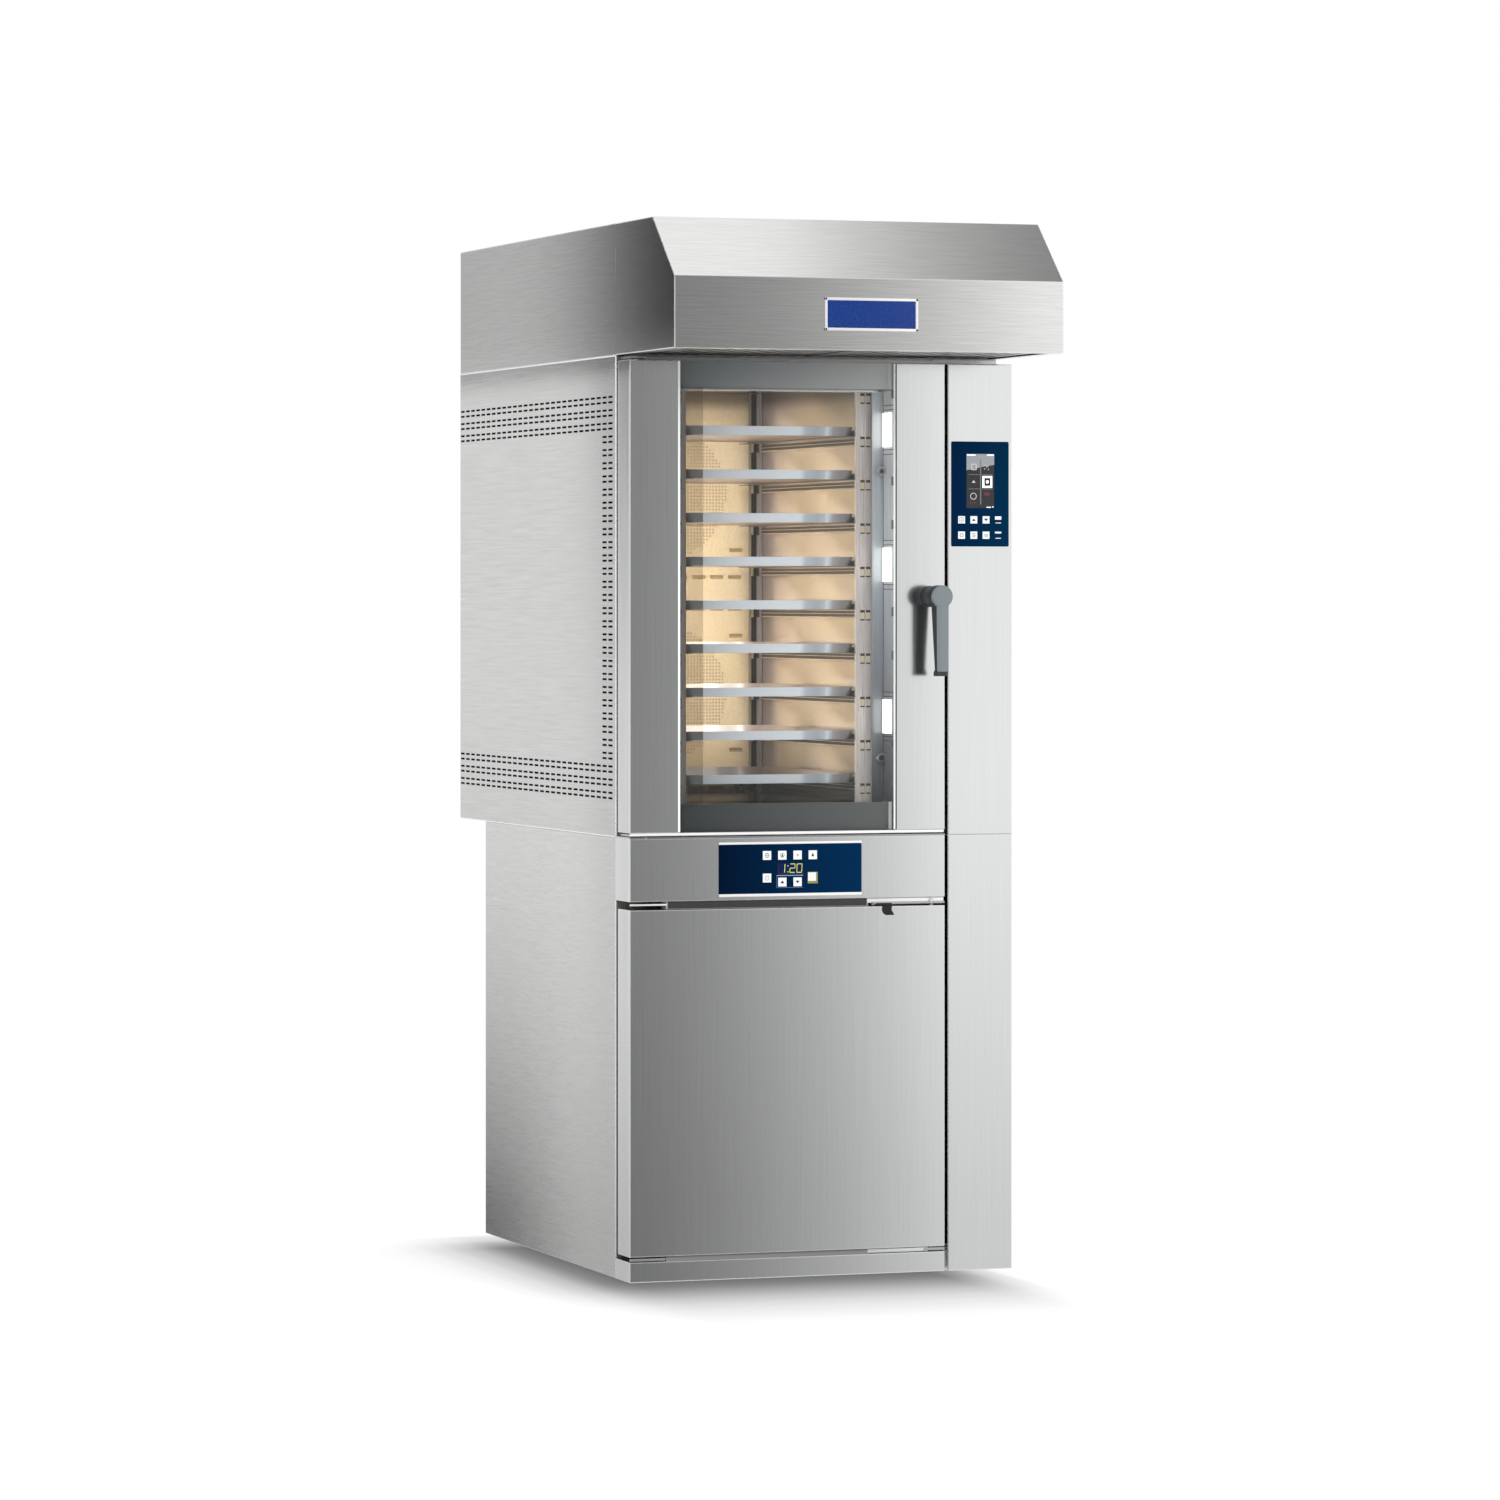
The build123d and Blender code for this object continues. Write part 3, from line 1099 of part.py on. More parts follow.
def hinge_brackets():
    """Upper and lower brackets of the oven door on the left and of the proofer door on the right."""
    oven_x = LEFT + HINGE_IN
    oven_y = FRONT + HINGE_BACK
    x0 = oven_x - 14
    x1 = x0 + HINGE_WIDTH
    top_z = DOOR_TOP + 3
    low_z = DOOR_LOW - 3 - HINGE_PLATE
    pin_in = HINGE_ENGAGE
    oven_top = hinge_bracket(x0, x1, oven_x, oven_y, top_z, DOOR_TOP - pin_in, top_z + HINGE_PLATE)
    oven_low = hinge_bracket(x0, x1, oven_x, oven_y, low_z, low_z, DOOR_LOW + pin_in)
    pin_x = DOOR_RIGHT - PROOFER_HINGE_IN
    pin_y = FRONT + PROOFER_HINGE_BACK
    x1 = DOOR_RIGHT
    top_z = PROOFER_DOOR_TOP + 4
    low_z = PROOFER_DOOR_LOW - 3 - HINGE_PLATE
    pin_low = PROOFER_DOOR_TOP - pin_in
    proofer_top = hinge_bracket(pin_x - 144, x1, pin_x, pin_y, top_z, pin_low, top_z + HINGE_PLATE)
    proofer_low = hinge_bracket(pin_x - 20, x1, pin_x, pin_y, low_z, low_z, PROOFER_DOOR_LOW + pin_in)
    return oven_top, oven_low, proofer_top, proofer_low


# Proofer


def proofer_casing():
    """Left side, right side and back sheet of the proofer cabinet."""
    left = pan(LEFT, LEFT + FOLD, CASING_Y, PROOFER_BACK, 0, OVEN_LOW, "+x")
    right = pan(RIGHT - FOLD, RIGHT, CASING_Y, PROOFER_BACK, 0, OVEN_LOW, "-x")
    back = block(LEFT + FOLD, RIGHT - FOLD, PROOFER_BACK - SHEET, PROOFER_BACK, 0, OVEN_LOW)
    return left, right, back


def plinth_base():
    """Front plinth, base tray of the proofer and the three bearers that stand on the floor."""
    front = pan(LEFT, DOOR_RIGHT, FRONT, CASING_Y, 0, PLINTH_HEIGHT, "+y")
    y1 = PROOFER_BACK - SHEET
    tray = block(LEFT + FOLD, RIGHT - FOLD, CASING_Y, y1, PLINTH_HEIGHT - SHEET, PLINTH_HEIGHT)
    bearers = []
    for x0 in (LEFT + FOLD, -20, RIGHT - FOLD - 40):
        bearers.append(block(x0, x0 + 40, CASING_Y + 2, y1, 0, PLINTH_HEIGHT - SHEET))
    return [front, tray, *bearers]


def proofer_fascia():
    """Fascia above the proofer door, with the opening behind the lower control panel."""
    fascia = pan(LEFT, DOOR_RIGHT, FRONT, CASING_Y, FASCIA_LOW, OVEN_LOW, "+y")
    return fascia - panel_cutout(lower_panel_box())


def proofer_mouth():
    """Left, right, low and top edges of the proofing chamber; its right wall clears the door's hinge."""
    x0 = LEFT + PROOFER_WALL
    x1 = DOOR_RIGHT - PROOFER_HINGE_WALL
    return x0, x1, PLINTH_HEIGHT + PROOFER_SILL, FASCIA_LOW - PROOFER_HEAD


def proofer_liner():
    """Proofing chamber: front frame, five walls and the tray runners on both sides."""
    x0, x1, z0, z1 = proofer_mouth()
    y0 = CHAMBER_Y
    y1 = PROOFER_BACK - PROOFER_BACK_SPACE
    left_bar = block(LEFT + SHEET, x0, FRAME_Y, y0, PLINTH_HEIGHT, FASCIA_LOW)
    left_bar += block(LEFT + SHEET, LEFT + FOLD, y0, CASING_Y, PLINTH_HEIGHT, FASCIA_LOW)
    bars = [
        left_bar,
        block(x1, COLUMN_LEFT, FRAME_Y, y0, PLINTH_HEIGHT, FASCIA_LOW),
        block(x0, x1, FRAME_Y, y0, z1, FASCIA_LOW),
        block(x0, x1, FRAME_Y, y0, PLINTH_HEIGHT, z0),
    ]
    walls = [
        block(x0 - SHEET, x0, y0, y1, z0 - SHEET, z1 + SHEET),
        block(x1, x1 + SHEET, y0, y1, z0 - SHEET, z1 + SHEET),
        block(x0, x1, y0, y1, z0 - SHEET, z0),
        block(x0, x1, y0, y1, z1, z1 + SHEET),
        block(x0 - SHEET, x1 + SHEET, y1, y1 + SHEET, z0 - SHEET, z1 + SHEET),
    ]
    runners = []
    pitch = (z1 - z0) / (RUNNER_COUNT + 1)
    for level in range(1, RUNNER_COUNT + 1):
        z = z0 + level * pitch
        for edge, side in ((x0, 1), (x1, -1)):
            a, b = sorted((edge, edge + side * RUNNER_WIDTH))
            shelf = block(a, b, y0 + 20, y1 - 220, z, z + SHEET)
            a, b = sorted((edge, edge + side * SHEET))
            runners.append(shelf + block(a, b, y0 + 20, y1 - 220, z - RUNNER_FOLD, z))
    return [*bars, *walls, *runners]


def proofer_door_shell():
    """Proofer door: folded outer skin, inner lining and hinge bushes."""
    shell = pan(LEFT, DOOR_RIGHT, FRONT, DOOR_BACK - SHEET, PROOFER_DOOR_LOW, PROOFER_DOOR_TOP, "+y")
    lining = block(LEFT, DOOR_RIGHT, DOOR_BACK - SHEET, DOOR_BACK, PROOFER_DOOR_LOW, PROOFER_DOOR_TOP)
    pivot = (DOOR_RIGHT - PROOFER_HINGE_IN, FRONT + PROOFER_HINGE_BACK)
    shell -= rod("z", (*pivot, PROOFER_DOOR_LOW - 1), HINGE_PIN + PIVOT_FIT, PROOFER_DOOR_HEIGHT + 2)
    bushes = [
        tube("z", (*pivot, z), HINGE_PIN + PIVOT_FIT, HINGE_PIN * 2, HINGE_ENGAGE)
        for z in (PROOFER_DOOR_LOW + SHEET, PROOFER_DOOR_TOP - SHEET - HINGE_ENGAGE)
    ]
    return [shell, lining, *bushes]


def humidifier():
    """Water pan at the rear of the proofer's floor, with its heater bar."""
    z0 = PLINTH_HEIGHT + PROOFER_SILL
    y1 = PROOFER_BACK - PROOFER_BACK_SPACE - 15
    x = (LEFT + DOOR_RIGHT) / 2
    water_pan = pan(x - 150, x + 150, y1 - 180, y1, z0, z0 + 60, "+z", bend=0)
    heater = rod("x", (x - 150 + SHEET, y1 - 90, z0 + 25), 6, 300 - 2 * SHEET)
    return water_pan, heater


# Export

os.makedirs("parts", exist_ok=True)

save("hood_canopy", hood_canopy())
save("hood_housing", *hood_housing())
save("hood_filters", *hood_filters())
save("flue_collar", flue_collar())
save("hood_fan_housing", hood_fan_housing())
save("hood_fan_wheel", hood_fan_wheel())
save("badge_plate", badge_plate())
save("oven_side_left", oven_side_left())
save("oven_side_right", oven_side_right())
save("oven_rear_cover", *oven_rear_cover())
save("oven_base_frame", oven_base_frame())
save("oven_front_frame", *oven_front_frame())
save("chamber_liner", *chamber_liner())
save("insulation", *insulation())
save("fan_baffle", fan_baffle())
save("tray_rack", *tray_rack())
save("baking_trays", *baking_trays())
save("heating_elements", *heating_elements())
save("fan_wheel_lower", fan_wheel(FAN_HEIGHTS[0]))
save("fan_wheel_upper", fan_wheel(FAN_HEIGHTS[1]))
save("fan_motors", *fan_motors())
save("steam_injector", steam_injector())
save("service_connections", *service_connections())
save("vent_duct", *vent_duct())
save("vent_damper", vent_damper())
save("column_upper", column_upper())
save("column_lower", column_lower())
save("control_panel_upper", control_panel(*upper_panel_box(), upper_keys(), screen_corners()[0]))
save("control_panel_lower", control_panel(*lower_panel_box(), lower_keys(), screen_corners()[1]))
save("display_screens", *display_screens())
save("control_boards", *control_boards())
for key_name, key_x, key_z, key_side in upper_keys() + lower_keys():
    save(key_name, key(key_x, key_z, key_side))
save("oven_door_shell", *oven_door_shell())
save("oven_door_glass", oven_door_glass())
save("oven_door_inner_glass", oven_door_inner_glass())
save("oven_door_lamps", *oven_door_lamps())
save("door_handle", door_handle())
save("handle_spindle", handle_spindle())
save("latch_keeper", latch_keeper())
save("door_gaskets", *door_gaskets())
save("hinge_brackets", *hinge_brackets())
save("proofer_casing", *proofer_casing())
save("plinth_base", *plinth_base())
save("proofer_fascia", proofer_fascia())
save("proofer_liner", *proofer_liner())
save("proofer_door_shell", *proofer_door_shell())
save("humidifier", *humidifier())
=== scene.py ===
# %% [markdown]
# # A bakery oven with its hood and proofer
# The object is a free-standing stack of folded stainless steel: an extractor hood on top, a convection oven
# for nine trays behind a glass door, and a proofer cabinet underneath. The measured parts come packed as a
# frame, and this lesson dresses them: it gives each one the finish of its real material, adds the small
# things that the eye looks for, and lights the whole as a studio would.

# %% Load the measured parts
import json
import math

import bmesh
import bpy
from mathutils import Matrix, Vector

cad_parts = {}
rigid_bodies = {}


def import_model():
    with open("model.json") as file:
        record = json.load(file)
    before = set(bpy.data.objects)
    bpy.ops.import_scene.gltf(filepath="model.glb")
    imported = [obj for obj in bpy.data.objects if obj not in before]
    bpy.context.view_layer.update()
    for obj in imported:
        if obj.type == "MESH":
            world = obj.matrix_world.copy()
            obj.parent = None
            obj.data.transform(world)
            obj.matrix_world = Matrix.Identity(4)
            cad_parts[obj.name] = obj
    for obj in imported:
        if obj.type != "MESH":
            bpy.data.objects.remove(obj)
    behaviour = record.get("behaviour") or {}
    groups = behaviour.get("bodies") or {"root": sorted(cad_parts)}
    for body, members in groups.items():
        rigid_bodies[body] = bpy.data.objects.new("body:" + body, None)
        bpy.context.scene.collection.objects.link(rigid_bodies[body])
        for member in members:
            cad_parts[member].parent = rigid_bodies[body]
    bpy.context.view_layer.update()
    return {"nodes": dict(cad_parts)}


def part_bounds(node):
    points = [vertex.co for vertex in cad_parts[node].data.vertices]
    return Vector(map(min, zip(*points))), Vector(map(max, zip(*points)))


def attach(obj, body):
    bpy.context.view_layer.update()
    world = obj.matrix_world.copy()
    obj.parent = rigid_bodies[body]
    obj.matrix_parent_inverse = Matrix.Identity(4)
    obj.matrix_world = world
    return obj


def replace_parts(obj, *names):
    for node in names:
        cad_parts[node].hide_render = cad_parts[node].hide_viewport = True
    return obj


for leftover in list(bpy.data.objects):
    bpy.data.objects.remove(leftover)
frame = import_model()
parts = frame["nodes"]

# %% [markdown]
# ## Working in millimetres
# A maker thinks of sheet steel in millimetres, and Blender counts in metres. One helper turns a point in
# millimetres into metres, so every size below reads as it would on a drawing. The front of the doors is a
# plane that many pieces start from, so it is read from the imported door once.

# %% Millimetres and the main planes
MM = 0.001


def mm(*values):
    """A point or a size in millimetres, as Blender's metres."""
    return Vector([value * MM for value in values])


def part_box(name):
    """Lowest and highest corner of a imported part, in millimetres."""
    low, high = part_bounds(name)
    return low / MM, high / MM


door_low, door_high = part_box("oven_door_shell")
FRONT = door_low.y
LEFT = door_low.x
RIGHT = part_box("column_upper")[1].x
TRAY_PITCH = 96
print("front plane at", round(FRONT, 1), "left", round(LEFT, 1), "right", round(RIGHT, 1))

# %% [markdown]
# ## Camera
# The picture was taken from far away with a long lens, from the left of the oven and at the height of its
# window, and the uprights stay upright. A shifted lens does that: the camera looks level, and the shift
# moves the picture down without tilting the verticals.

# %% Camera
CAMERA_PLACE = (-4.48647, -12.93278, 1.49075)
CAMERA_TURN = -19.14224
LENS = 144.739
SHIFT_DOWN = -0.10289

camera_data = bpy.data.cameras.new("camera")
camera_data.sensor_width = 36
camera_data.lens = LENS
camera_data.shift_y = SHIFT_DOWN
camera_data.clip_end = 200
camera = bpy.data.objects.new("camera", camera_data)
camera.location = CAMERA_PLACE
camera.rotation_euler = (math.radians(90), 0, math.radians(CAMERA_TURN))
bpy.context.scene.collection.objects.link(camera)
bpy.context.scene.camera = camera
bpy.context.scene.view_settings.view_transform = "Standard"
print("camera", round(camera.location.length, 2), "m from the middle of the footprint")

# %% [markdown]
# ## Helpers for finishes
# Paint charts and photographs give colours in sRGB, while shaders want linear light, so one function does the
# conversion. A second adds a node with its settings and links, because every finish below is a small
# network of nodes and the same five lines would come back again and again.

# %% Colour and node helpers


def linear(code):
    """A colour such as #C8C8C6 as the linear values that a shader takes."""
    levels = [int(code[place:place + 2], 16) / 255 for place in (1, 3, 5)]
    return [v / 12.92 if v <= 0.04045 else ((v + 0.055) / 1.055) ** 2.4 for v in levels] + [1.0]


def add(tree, kind, inputs=None, **settings):
    """A node with its settings. An input is a plain value, or the output socket that feeds it."""
    node = tree.nodes.new(kind)
    for name, value in settings.items():
        setattr(node, name, value)
    for key, value in (inputs or {}).items():
        if isinstance(value, bpy.types.NodeSocket):
            tree.links.new(value, node.inputs[key])
        else:
            node.inputs[key].default_value = value
    return node


def new_finish(name):
    """An empty material with its object coordinates ready."""
    material = bpy.data.materials.new(name)
    material.use_nodes = True
    tree = material.node_tree
    tree.nodes.clear()
    coords = add(tree, "ShaderNodeTexCoord").outputs["Object"]
    return material, tree, coords


def close(tree, shader_inputs):
    """The last two nodes of most finishes: the shader, and the output."""
    shader = add(tree, "ShaderNodeBsdfPrincipled", shader_inputs)
    add(tree, "ShaderNodeOutputMaterial", {"Surface": shader.outputs[0]})
    return shader


def span(tree, value, low, high, to_low, to_high):
    """Carries a value from one range to another, and stops at its ends."""
    node = add(tree, "ShaderNodeMapRange", {0: value, 1: low, 2: high, 3: to_low, 4: to_high})
    return node.outputs[0]


def blend_colours(tree, factor, first, second):
    """A colour between two, by a factor."""
    node = add(tree, "ShaderNodeMix", {0: factor, 6: linear(first), 7: linear(second)}, data_type="RGBA")
    return node.outputs[2]


def colour_run(tree, along, stops):
    """Colours that follow a coordinate. The stops are pairs of place in millimetres and colour."""
    first, last = stops[0][0], stops[-1][0]
    ramp = add(tree, "ShaderNodeValToRGB", {0: span(tree, along, first * MM, last * MM, 0, 1)})
    marks = ramp.color_ramp.elements
    while len(marks) < len(stops):
        marks.new(0.5)
    for mark, (place, code) in zip(marks, stops):
        mark.position = (place - first) / (last - first)
        mark.color = linear(code)
    return ramp.outputs[0]


print("helpers for finishes ready")

# %% [markdown]
# ## Brushed stainless steel
# The casing is rolled sheet that was ground with a belt, which leaves fine parallel lines. Under light the
# lines spread the reflection across the grain, and some catch more light than others. The grain here is a
# noise pulled long in one direction. Real grit lines are a tenth of a millimetre wide, too fine to show from
# thirteen metres, so they are drawn about two millimetres wide. A little rounding at the edges stands for
# the folds of the sheet. Where a finish asks for it, a painted highlight whitens the folds that face up or
# sideways, for the thin line of light that a fold catches.

# %% Brushed stainless steel


def stretched_noise(tree, coords, sizes, detail=2.0, roughness=0.55):
    """Noise whose patches are as long as the sizes given, in millimetres along X, Y and Z."""
    scale = [1 / (size * MM) for size in sizes]
    place = add(tree, "ShaderNodeMapping", {"Vector": coords, "Scale": scale})
    settings = {"Vector": place.outputs[0], "Scale": 1.0, "Detail": detail, "Roughness": roughness}
    return add(tree, "ShaderNodeTexNoise", settings).outputs["Fac"]


def brushed_steel(
    name, pale, dark, gloss, grain="level", line=2.2, run=260, fold=2.5, bump=0.04, metal=1.0, fold_light=0.0
):
    """Belt-ground sheet. The grain runs level or upright; gloss is the least and most roughness."""
    material, tree, coords = new_finish(name)
    if grain == "level":
        on_sides = stretched_noise(tree, coords, (line, run, line))
        on_fronts = stretched_noise(tree, coords, (run, line, line))
    else:
        on_sides = stretched_noise(tree, coords, (line, line, run))
        on_fronts = stretched_noise(tree, coords, (line, line, run))
    geometry = add(tree, "ShaderNodeNewGeometry").outputs
    facing = add(tree, "ShaderNodeSeparateXYZ", {0: geometry["Normal"]})
    sideways = add(tree, "ShaderNodeMath", {0: facing.outputs["X"]}, operation="ABSOLUTE").outputs[0]
    lines = add(tree, "ShaderNodeMix", {0: sideways, 2: on_fronts, 3: on_sides}).outputs[0]
    colour = blend_colours(tree, span(tree, lines, 0.25, 0.75, 0, 1), dark, pale)
    rough = span(tree, lines, 0.3, 0.7, gloss[0], gloss[1])
    edge = add(tree, "ShaderNodeBevel", {"Radius": fold * MM}, samples=4)
    relief = add(
        tree,
        "ShaderNodeBump",
        {"Strength": bump, "Distance": 0.3 * MM, "Height": lines, "Normal": edge.outputs[0]},
    )
    sheen = metal
    # Painted highlight: near the folds the colour turns white and the metal drops, except on edges that face
    # down.
    if fold_light > 0:
        turned_away = add(
            tree, "ShaderNodeVectorMath", {0: edge.outputs[0], 1: geometry["Normal"]}, operation="DOT_PRODUCT"
        )
        on_fold = span(tree, turned_away.outputs["Value"], 0.93, 0.995, fold_light, 0.0)
        slope = add(tree, "ShaderNodeSeparateXYZ", {0: edge.outputs[0]}).outputs["Z"]
        upper = span(tree, slope, -0.3, -0.08, 0, 1)
        lit = add(tree, "ShaderNodeMath", {0: upper, 1: sideways}, operation="MAXIMUM").outputs[0]
        on_fold = add(tree, "ShaderNodeMath", {0: on_fold, 1: lit}, operation="MULTIPLY").outputs[0]
        fold_highlight = add(tree, "ShaderNodeMix", {0: on_fold, 6: colour, 7: linear("#FFFFFF")}, data_type="RGBA")
        colour = fold_highlight.outputs[2]
        sheen = span(tree, on_fold, 0, 1, metal, 0.1)
    close(
        tree,
        {
            "Base Color": colour,
            "Metallic": sheen,
            "Roughness": rough,
            "Normal": relief.outputs[0],
        },
    )
    return material


finishes = {
    "casing_steel": brushed_steel(
        "brushed_stainless_casing", "#D8D8D7", "#C4C4C3", (0.26, 0.33), line=2.0, run=70, fold=0.7
    ),
    "hood_steel": brushed_steel(
        "brushed_stainless_hood",
        "#F0F0EF",
        "#E0E0DF",
        (0.225, 0.235),
        line=2.0,
        run=90,
        fold=2.8,
        bump=0.01,
        fold_light=1.0,
    ),
    "front_steel": brushed_steel(
        "satin_stainless_front", "#E8E9E9", "#E2E3E3", (0.15, 0.20), "upright", 3.0, 320, fold_light=0.7
    ),
    "door_steel": brushed_steel(
        "satin_stainless_doors", "#E8E9E9", "#E2E3E3", (0.13, 0.18), "upright", 3.0, 320, fold_light=0.7
    ),
    "frame_steel": brushed_steel(
        "satin_stainless_frame", "#D2D2D0", "#B9B9B7", (0.22, 0.34), line=1.6, run=120
    ),
    "filter_steel": brushed_steel(
        "stainless_filter_slats", "#BDBDBB", "#9A9A98", (0.3, 0.45), line=1.2, run=80
    ),
    "fitting_steel": brushed_steel(
        "turned_stainless_fittings", "#CFCFCD", "#ABABA9", (0.2, 0.34), line=0.8, run=40
    ),
    "fan_steel": brushed_steel(
        "stamped_stainless_fans", "#C9C9C6", "#A3A3A0", (0.25, 0.4), line=1.2, run=60
    ),
    "rack_steel": brushed_steel(
        "drawn_stainless_racks", "#8E8882", "#6C655E", (0.2, 0.34), "upright", 1.2, 90, metal=0.6
    ),
}
print("steel finishes:", sorted(finishes))

# %% [markdown]
# ## Heat-tinted steel inside the chamber
# The chamber is lined with bright annealed sheet. After many bakes a thin film of oxide and grease turns it
# straw yellow, which together with the warm lamps gives the cream of the walls. The film scatters part of the
# light, so the sheet is part mirror and part matt, and the tint wanders over it in wide clouds. Painted shade
# darkens the walls towards the floor and the ceiling and turns them a cooler grey towards the back. The trays
# are aluminised sheet. Along their rims runs painted light and reflection, bright on the left and brownish
# grey at the right ends, and the faces of the trays that look down are painted a dark brown, as shade under
# them.

# %% Heat-tinted steel


def heat_tinted_steel(name, straw, bare, gloss, mirror=0.5, runs=(), under=None):
    """Bright sheet with the tint of many bakes. The mirror share is the part of it that no film covers."""
    material, tree, coords = new_finish(name)
    cloud = stretched_noise(tree, coords, (240, 240, 130), detail=3.0)
    lines = stretched_noise(tree, coords, (1.6, 220, 1.6))
    colour = blend_colours(tree, span(tree, cloud, 0.35, 0.65, 0, 1), straw, bare)
    # Each run multiplies the colour along one axis; the runs given below paint shade and light.
    for axis, stops in runs:
        place = add(tree, "ShaderNodeSeparateXYZ", {0: coords}).outputs[axis]
        shade = colour_run(tree, place, stops)
        layers = {0: 1.0, 6: colour, 7: shade}
        colour = add(tree, "ShaderNodeMix", layers, data_type="RGBA", blend_type="MULTIPLY").outputs[2]
    # Faces that look down take the under colour: painted shade under the trays.
    if under:
        normal = add(tree, "ShaderNodeNewGeometry").outputs["Normal"]
        facing = add(tree, "ShaderNodeSeparateXYZ", {0: normal})
        below = span(tree, facing.outputs["Z"], -0.9, -0.4, 1, 0)
        layers = {0: below, 6: colour, 7: linear(under)}
        colour = add(tree, "ShaderNodeMix", layers, data_type="RGBA").outputs[2]
    rough = span(tree, lines, 0.3, 0.7, gloss[0], gloss[1])
    edge = add(tree, "ShaderNodeBevel", {"Radius": 1.0 * MM}, samples=4)
    close(
        tree,
        {"Base Color": colour, "Metallic": mirror, "Roughness": rough, "Normal": edge.outputs[0]},
    )
    return material


liner_low, liner_high = part_box("chamber_liner")
# Painted shade: the walls darken towards the floor and the ceiling, and turn a cooler grey towards the back.
painted_shade_by_height = [
    (liner_low.z - 5, "#3C3A38"),
    (liner_low.z + 4, "#4A4846"),
    (liner_low.z + 26, "#A6A29F"),
    (liner_low.z + 46, "#F6F6F6"),
    (liner_high.z - 45, "#F6F6F6"),
    (liner_high.z - 20, "#A5A19E"),
    (liner_high.z, "#8A8683"),
]
painted_shade_by_depth = [
    (FRONT + 99, "#FFFFFF"),
    (FRONT + 620, "#FFFFFF"),
    (FRONT + 740, "#E6E4F0"),
    (FRONT + 835, "#C8C6D6"),
    (FRONT + 990, "#C8C6D6"),
]
finishes["chamber_steel"] = heat_tinted_steel(
    "heat_tinted_stainless", "#F4E6D2", "#F1E7DD", (0.16, 0.26), 0.35, (("Z", painted_shade_by_height), ("Y", painted_shade_by_depth))
)
tray_low, tray_high = part_box("baking_trays")
# Painted light along the tray rims: bright on the left, a painted highlight and a bluish painted reflection,
# then brownish grey towards the right ends.
painted_light_along_rim = [
    (tray_low.x, "#E0E0DE"),
    (tray_low.x + 155, "#EDEDEF"),
    (tray_low.x + 272, "#FCFCFC"),
    (tray_low.x + 286, "#CFD2D8"),
    (tray_low.x + 312, "#C2C4C8"),
    (tray_low.x + 328, "#D4D6D8"),
    (tray_low.x + 335, "#F6F6F6"),
    (tray_low.x + 342, "#DADADC"),
    (tray_low.x + 349, "#B5AFAF"),
    (tray_low.x + 370, "#9A8F8A"),
    (tray_high.x, "#9C9491"),
]
finishes["tray_aluminium"] = heat_tinted_steel(
    "aluminised_bakery_tray", "#F2F3F6", "#EEEFF2", (0.3, 0.4), 0.2, (("X", painted_light_along_rim),), "#6E5A48"
)
finishes["heater_alloy"] = heat_tinted_steel("oxidised_heater_sheath", "#5A4A3C", "#6E6258", (0.4, 0.6))
# The baffle and its screen take the same painted shade by height as the walls.
painted_shade_up_the_wall = (("Z", painted_shade_by_height),)
baffle_tint = heat_tinted_steel("straw_tinted_baffle", "#F8E9C6", "#F6E9CF", (0.22, 0.34), 0.15, painted_shade_up_the_wall)
screen_tint = heat_tinted_steel("straw_tinted_screen", "#C9B58E", "#C4B491", (0.4, 0.5), 0.1, painted_shade_up_the_wall)
# Painted light and shade across the rack's posts: a pale lit edge, a dark shaded face and a pale strip
# beyond.
rack_painted_light_and_shade = [
    (LEFT + 565.5, "#6C655E"),
    (LEFT + 566.5, "#A7A39F"),
    (LEFT + 571, "#8A8682"),
    (LEFT + 573, "#2E2B29"),
    (LEFT + 584, "#2E2B29"),
    (LEFT + 586, "#B4AEB2"),
    (LEFT + 594, "#C6C0C4"),
]
rack_painted_tint = heat_tinted_steel(
    "drawn_stainless_rack", "#F2F2F2", "#E6E6E6", (0.3, 0.4), 0.25, (("X", rack_painted_light_and_shade),)
)
print("chamber finishes ready")

# %% [markdown]
# ## Glass
# Both panes are float glass. Clear glass hardly darkens what is behind it, so it could be left out, but its
# reflections and its pale green edge are what tell the eye that a door is there. The shader mixes a
# transparent sheet with a mirror by the Fresnel rule, which stays clean at few samples and lets the
# chamber's lamps light the room through the pane. The mirror works only where light enters the glass, since
# the rays here run straight on and would otherwise be caught at the second face.

# %% Glass


def float_glass(name, tint, ior=1.52):
    """A clear pane: see-through, with reflections that grow at a slant."""
    material, tree, coords = new_finish(name)
    smudge = stretched_noise(tree, coords, (180, 180, 260), detail=2.0)
    edge_rule = add(tree, "ShaderNodeFresnel", {"IOR": ior}).outputs[0]
    behind = add(tree, "ShaderNodeNewGeometry").outputs["Backfacing"]
    entering = add(tree, "ShaderNodeMath", {0: 1.0, 1: behind}, operation="SUBTRACT").outputs[0]
    fresnel = add(tree, "ShaderNodeMath", {0: edge_rule, 1: entering}, operation="MULTIPLY").outputs[0]
    rough = span(tree, smudge, 0.3, 0.7, 0.0, 0.03)
    mirror = add(tree, "ShaderNodeBsdfAnisotropic", {"Color": linear("#F4F8F6"), "Roughness": rough})
    clear = add(tree, "ShaderNodeBsdfTransparent", {"Color": linear(tint)})
    both = add(tree, "ShaderNodeMixShader", {0: fresnel, 1: clear.outputs[0], 2: mirror.outputs[0]})
    add(tree, "ShaderNodeOutputMaterial", {"Surface": both.outputs[0]})
    return material


finishes["outer_glass"] = float_glass("float_glass_outer", "#FAFBFB")
finishes["inner_glass"] = float_glass("float_glass_inner", "#FBFCFC")
print("glass ready")

# %% [markdown]
# ## Plastics, paints, rubber and wool
# Each of these is one plain shader with a small variation, since none is one even colour in real life:
# moulded plastic has a faint grain, enamel paint pools a little, rubber is dusty, and rock wool is made of
# short fibres. The patterns are sized from the real thing in millimetres.

# %% Plain finishes


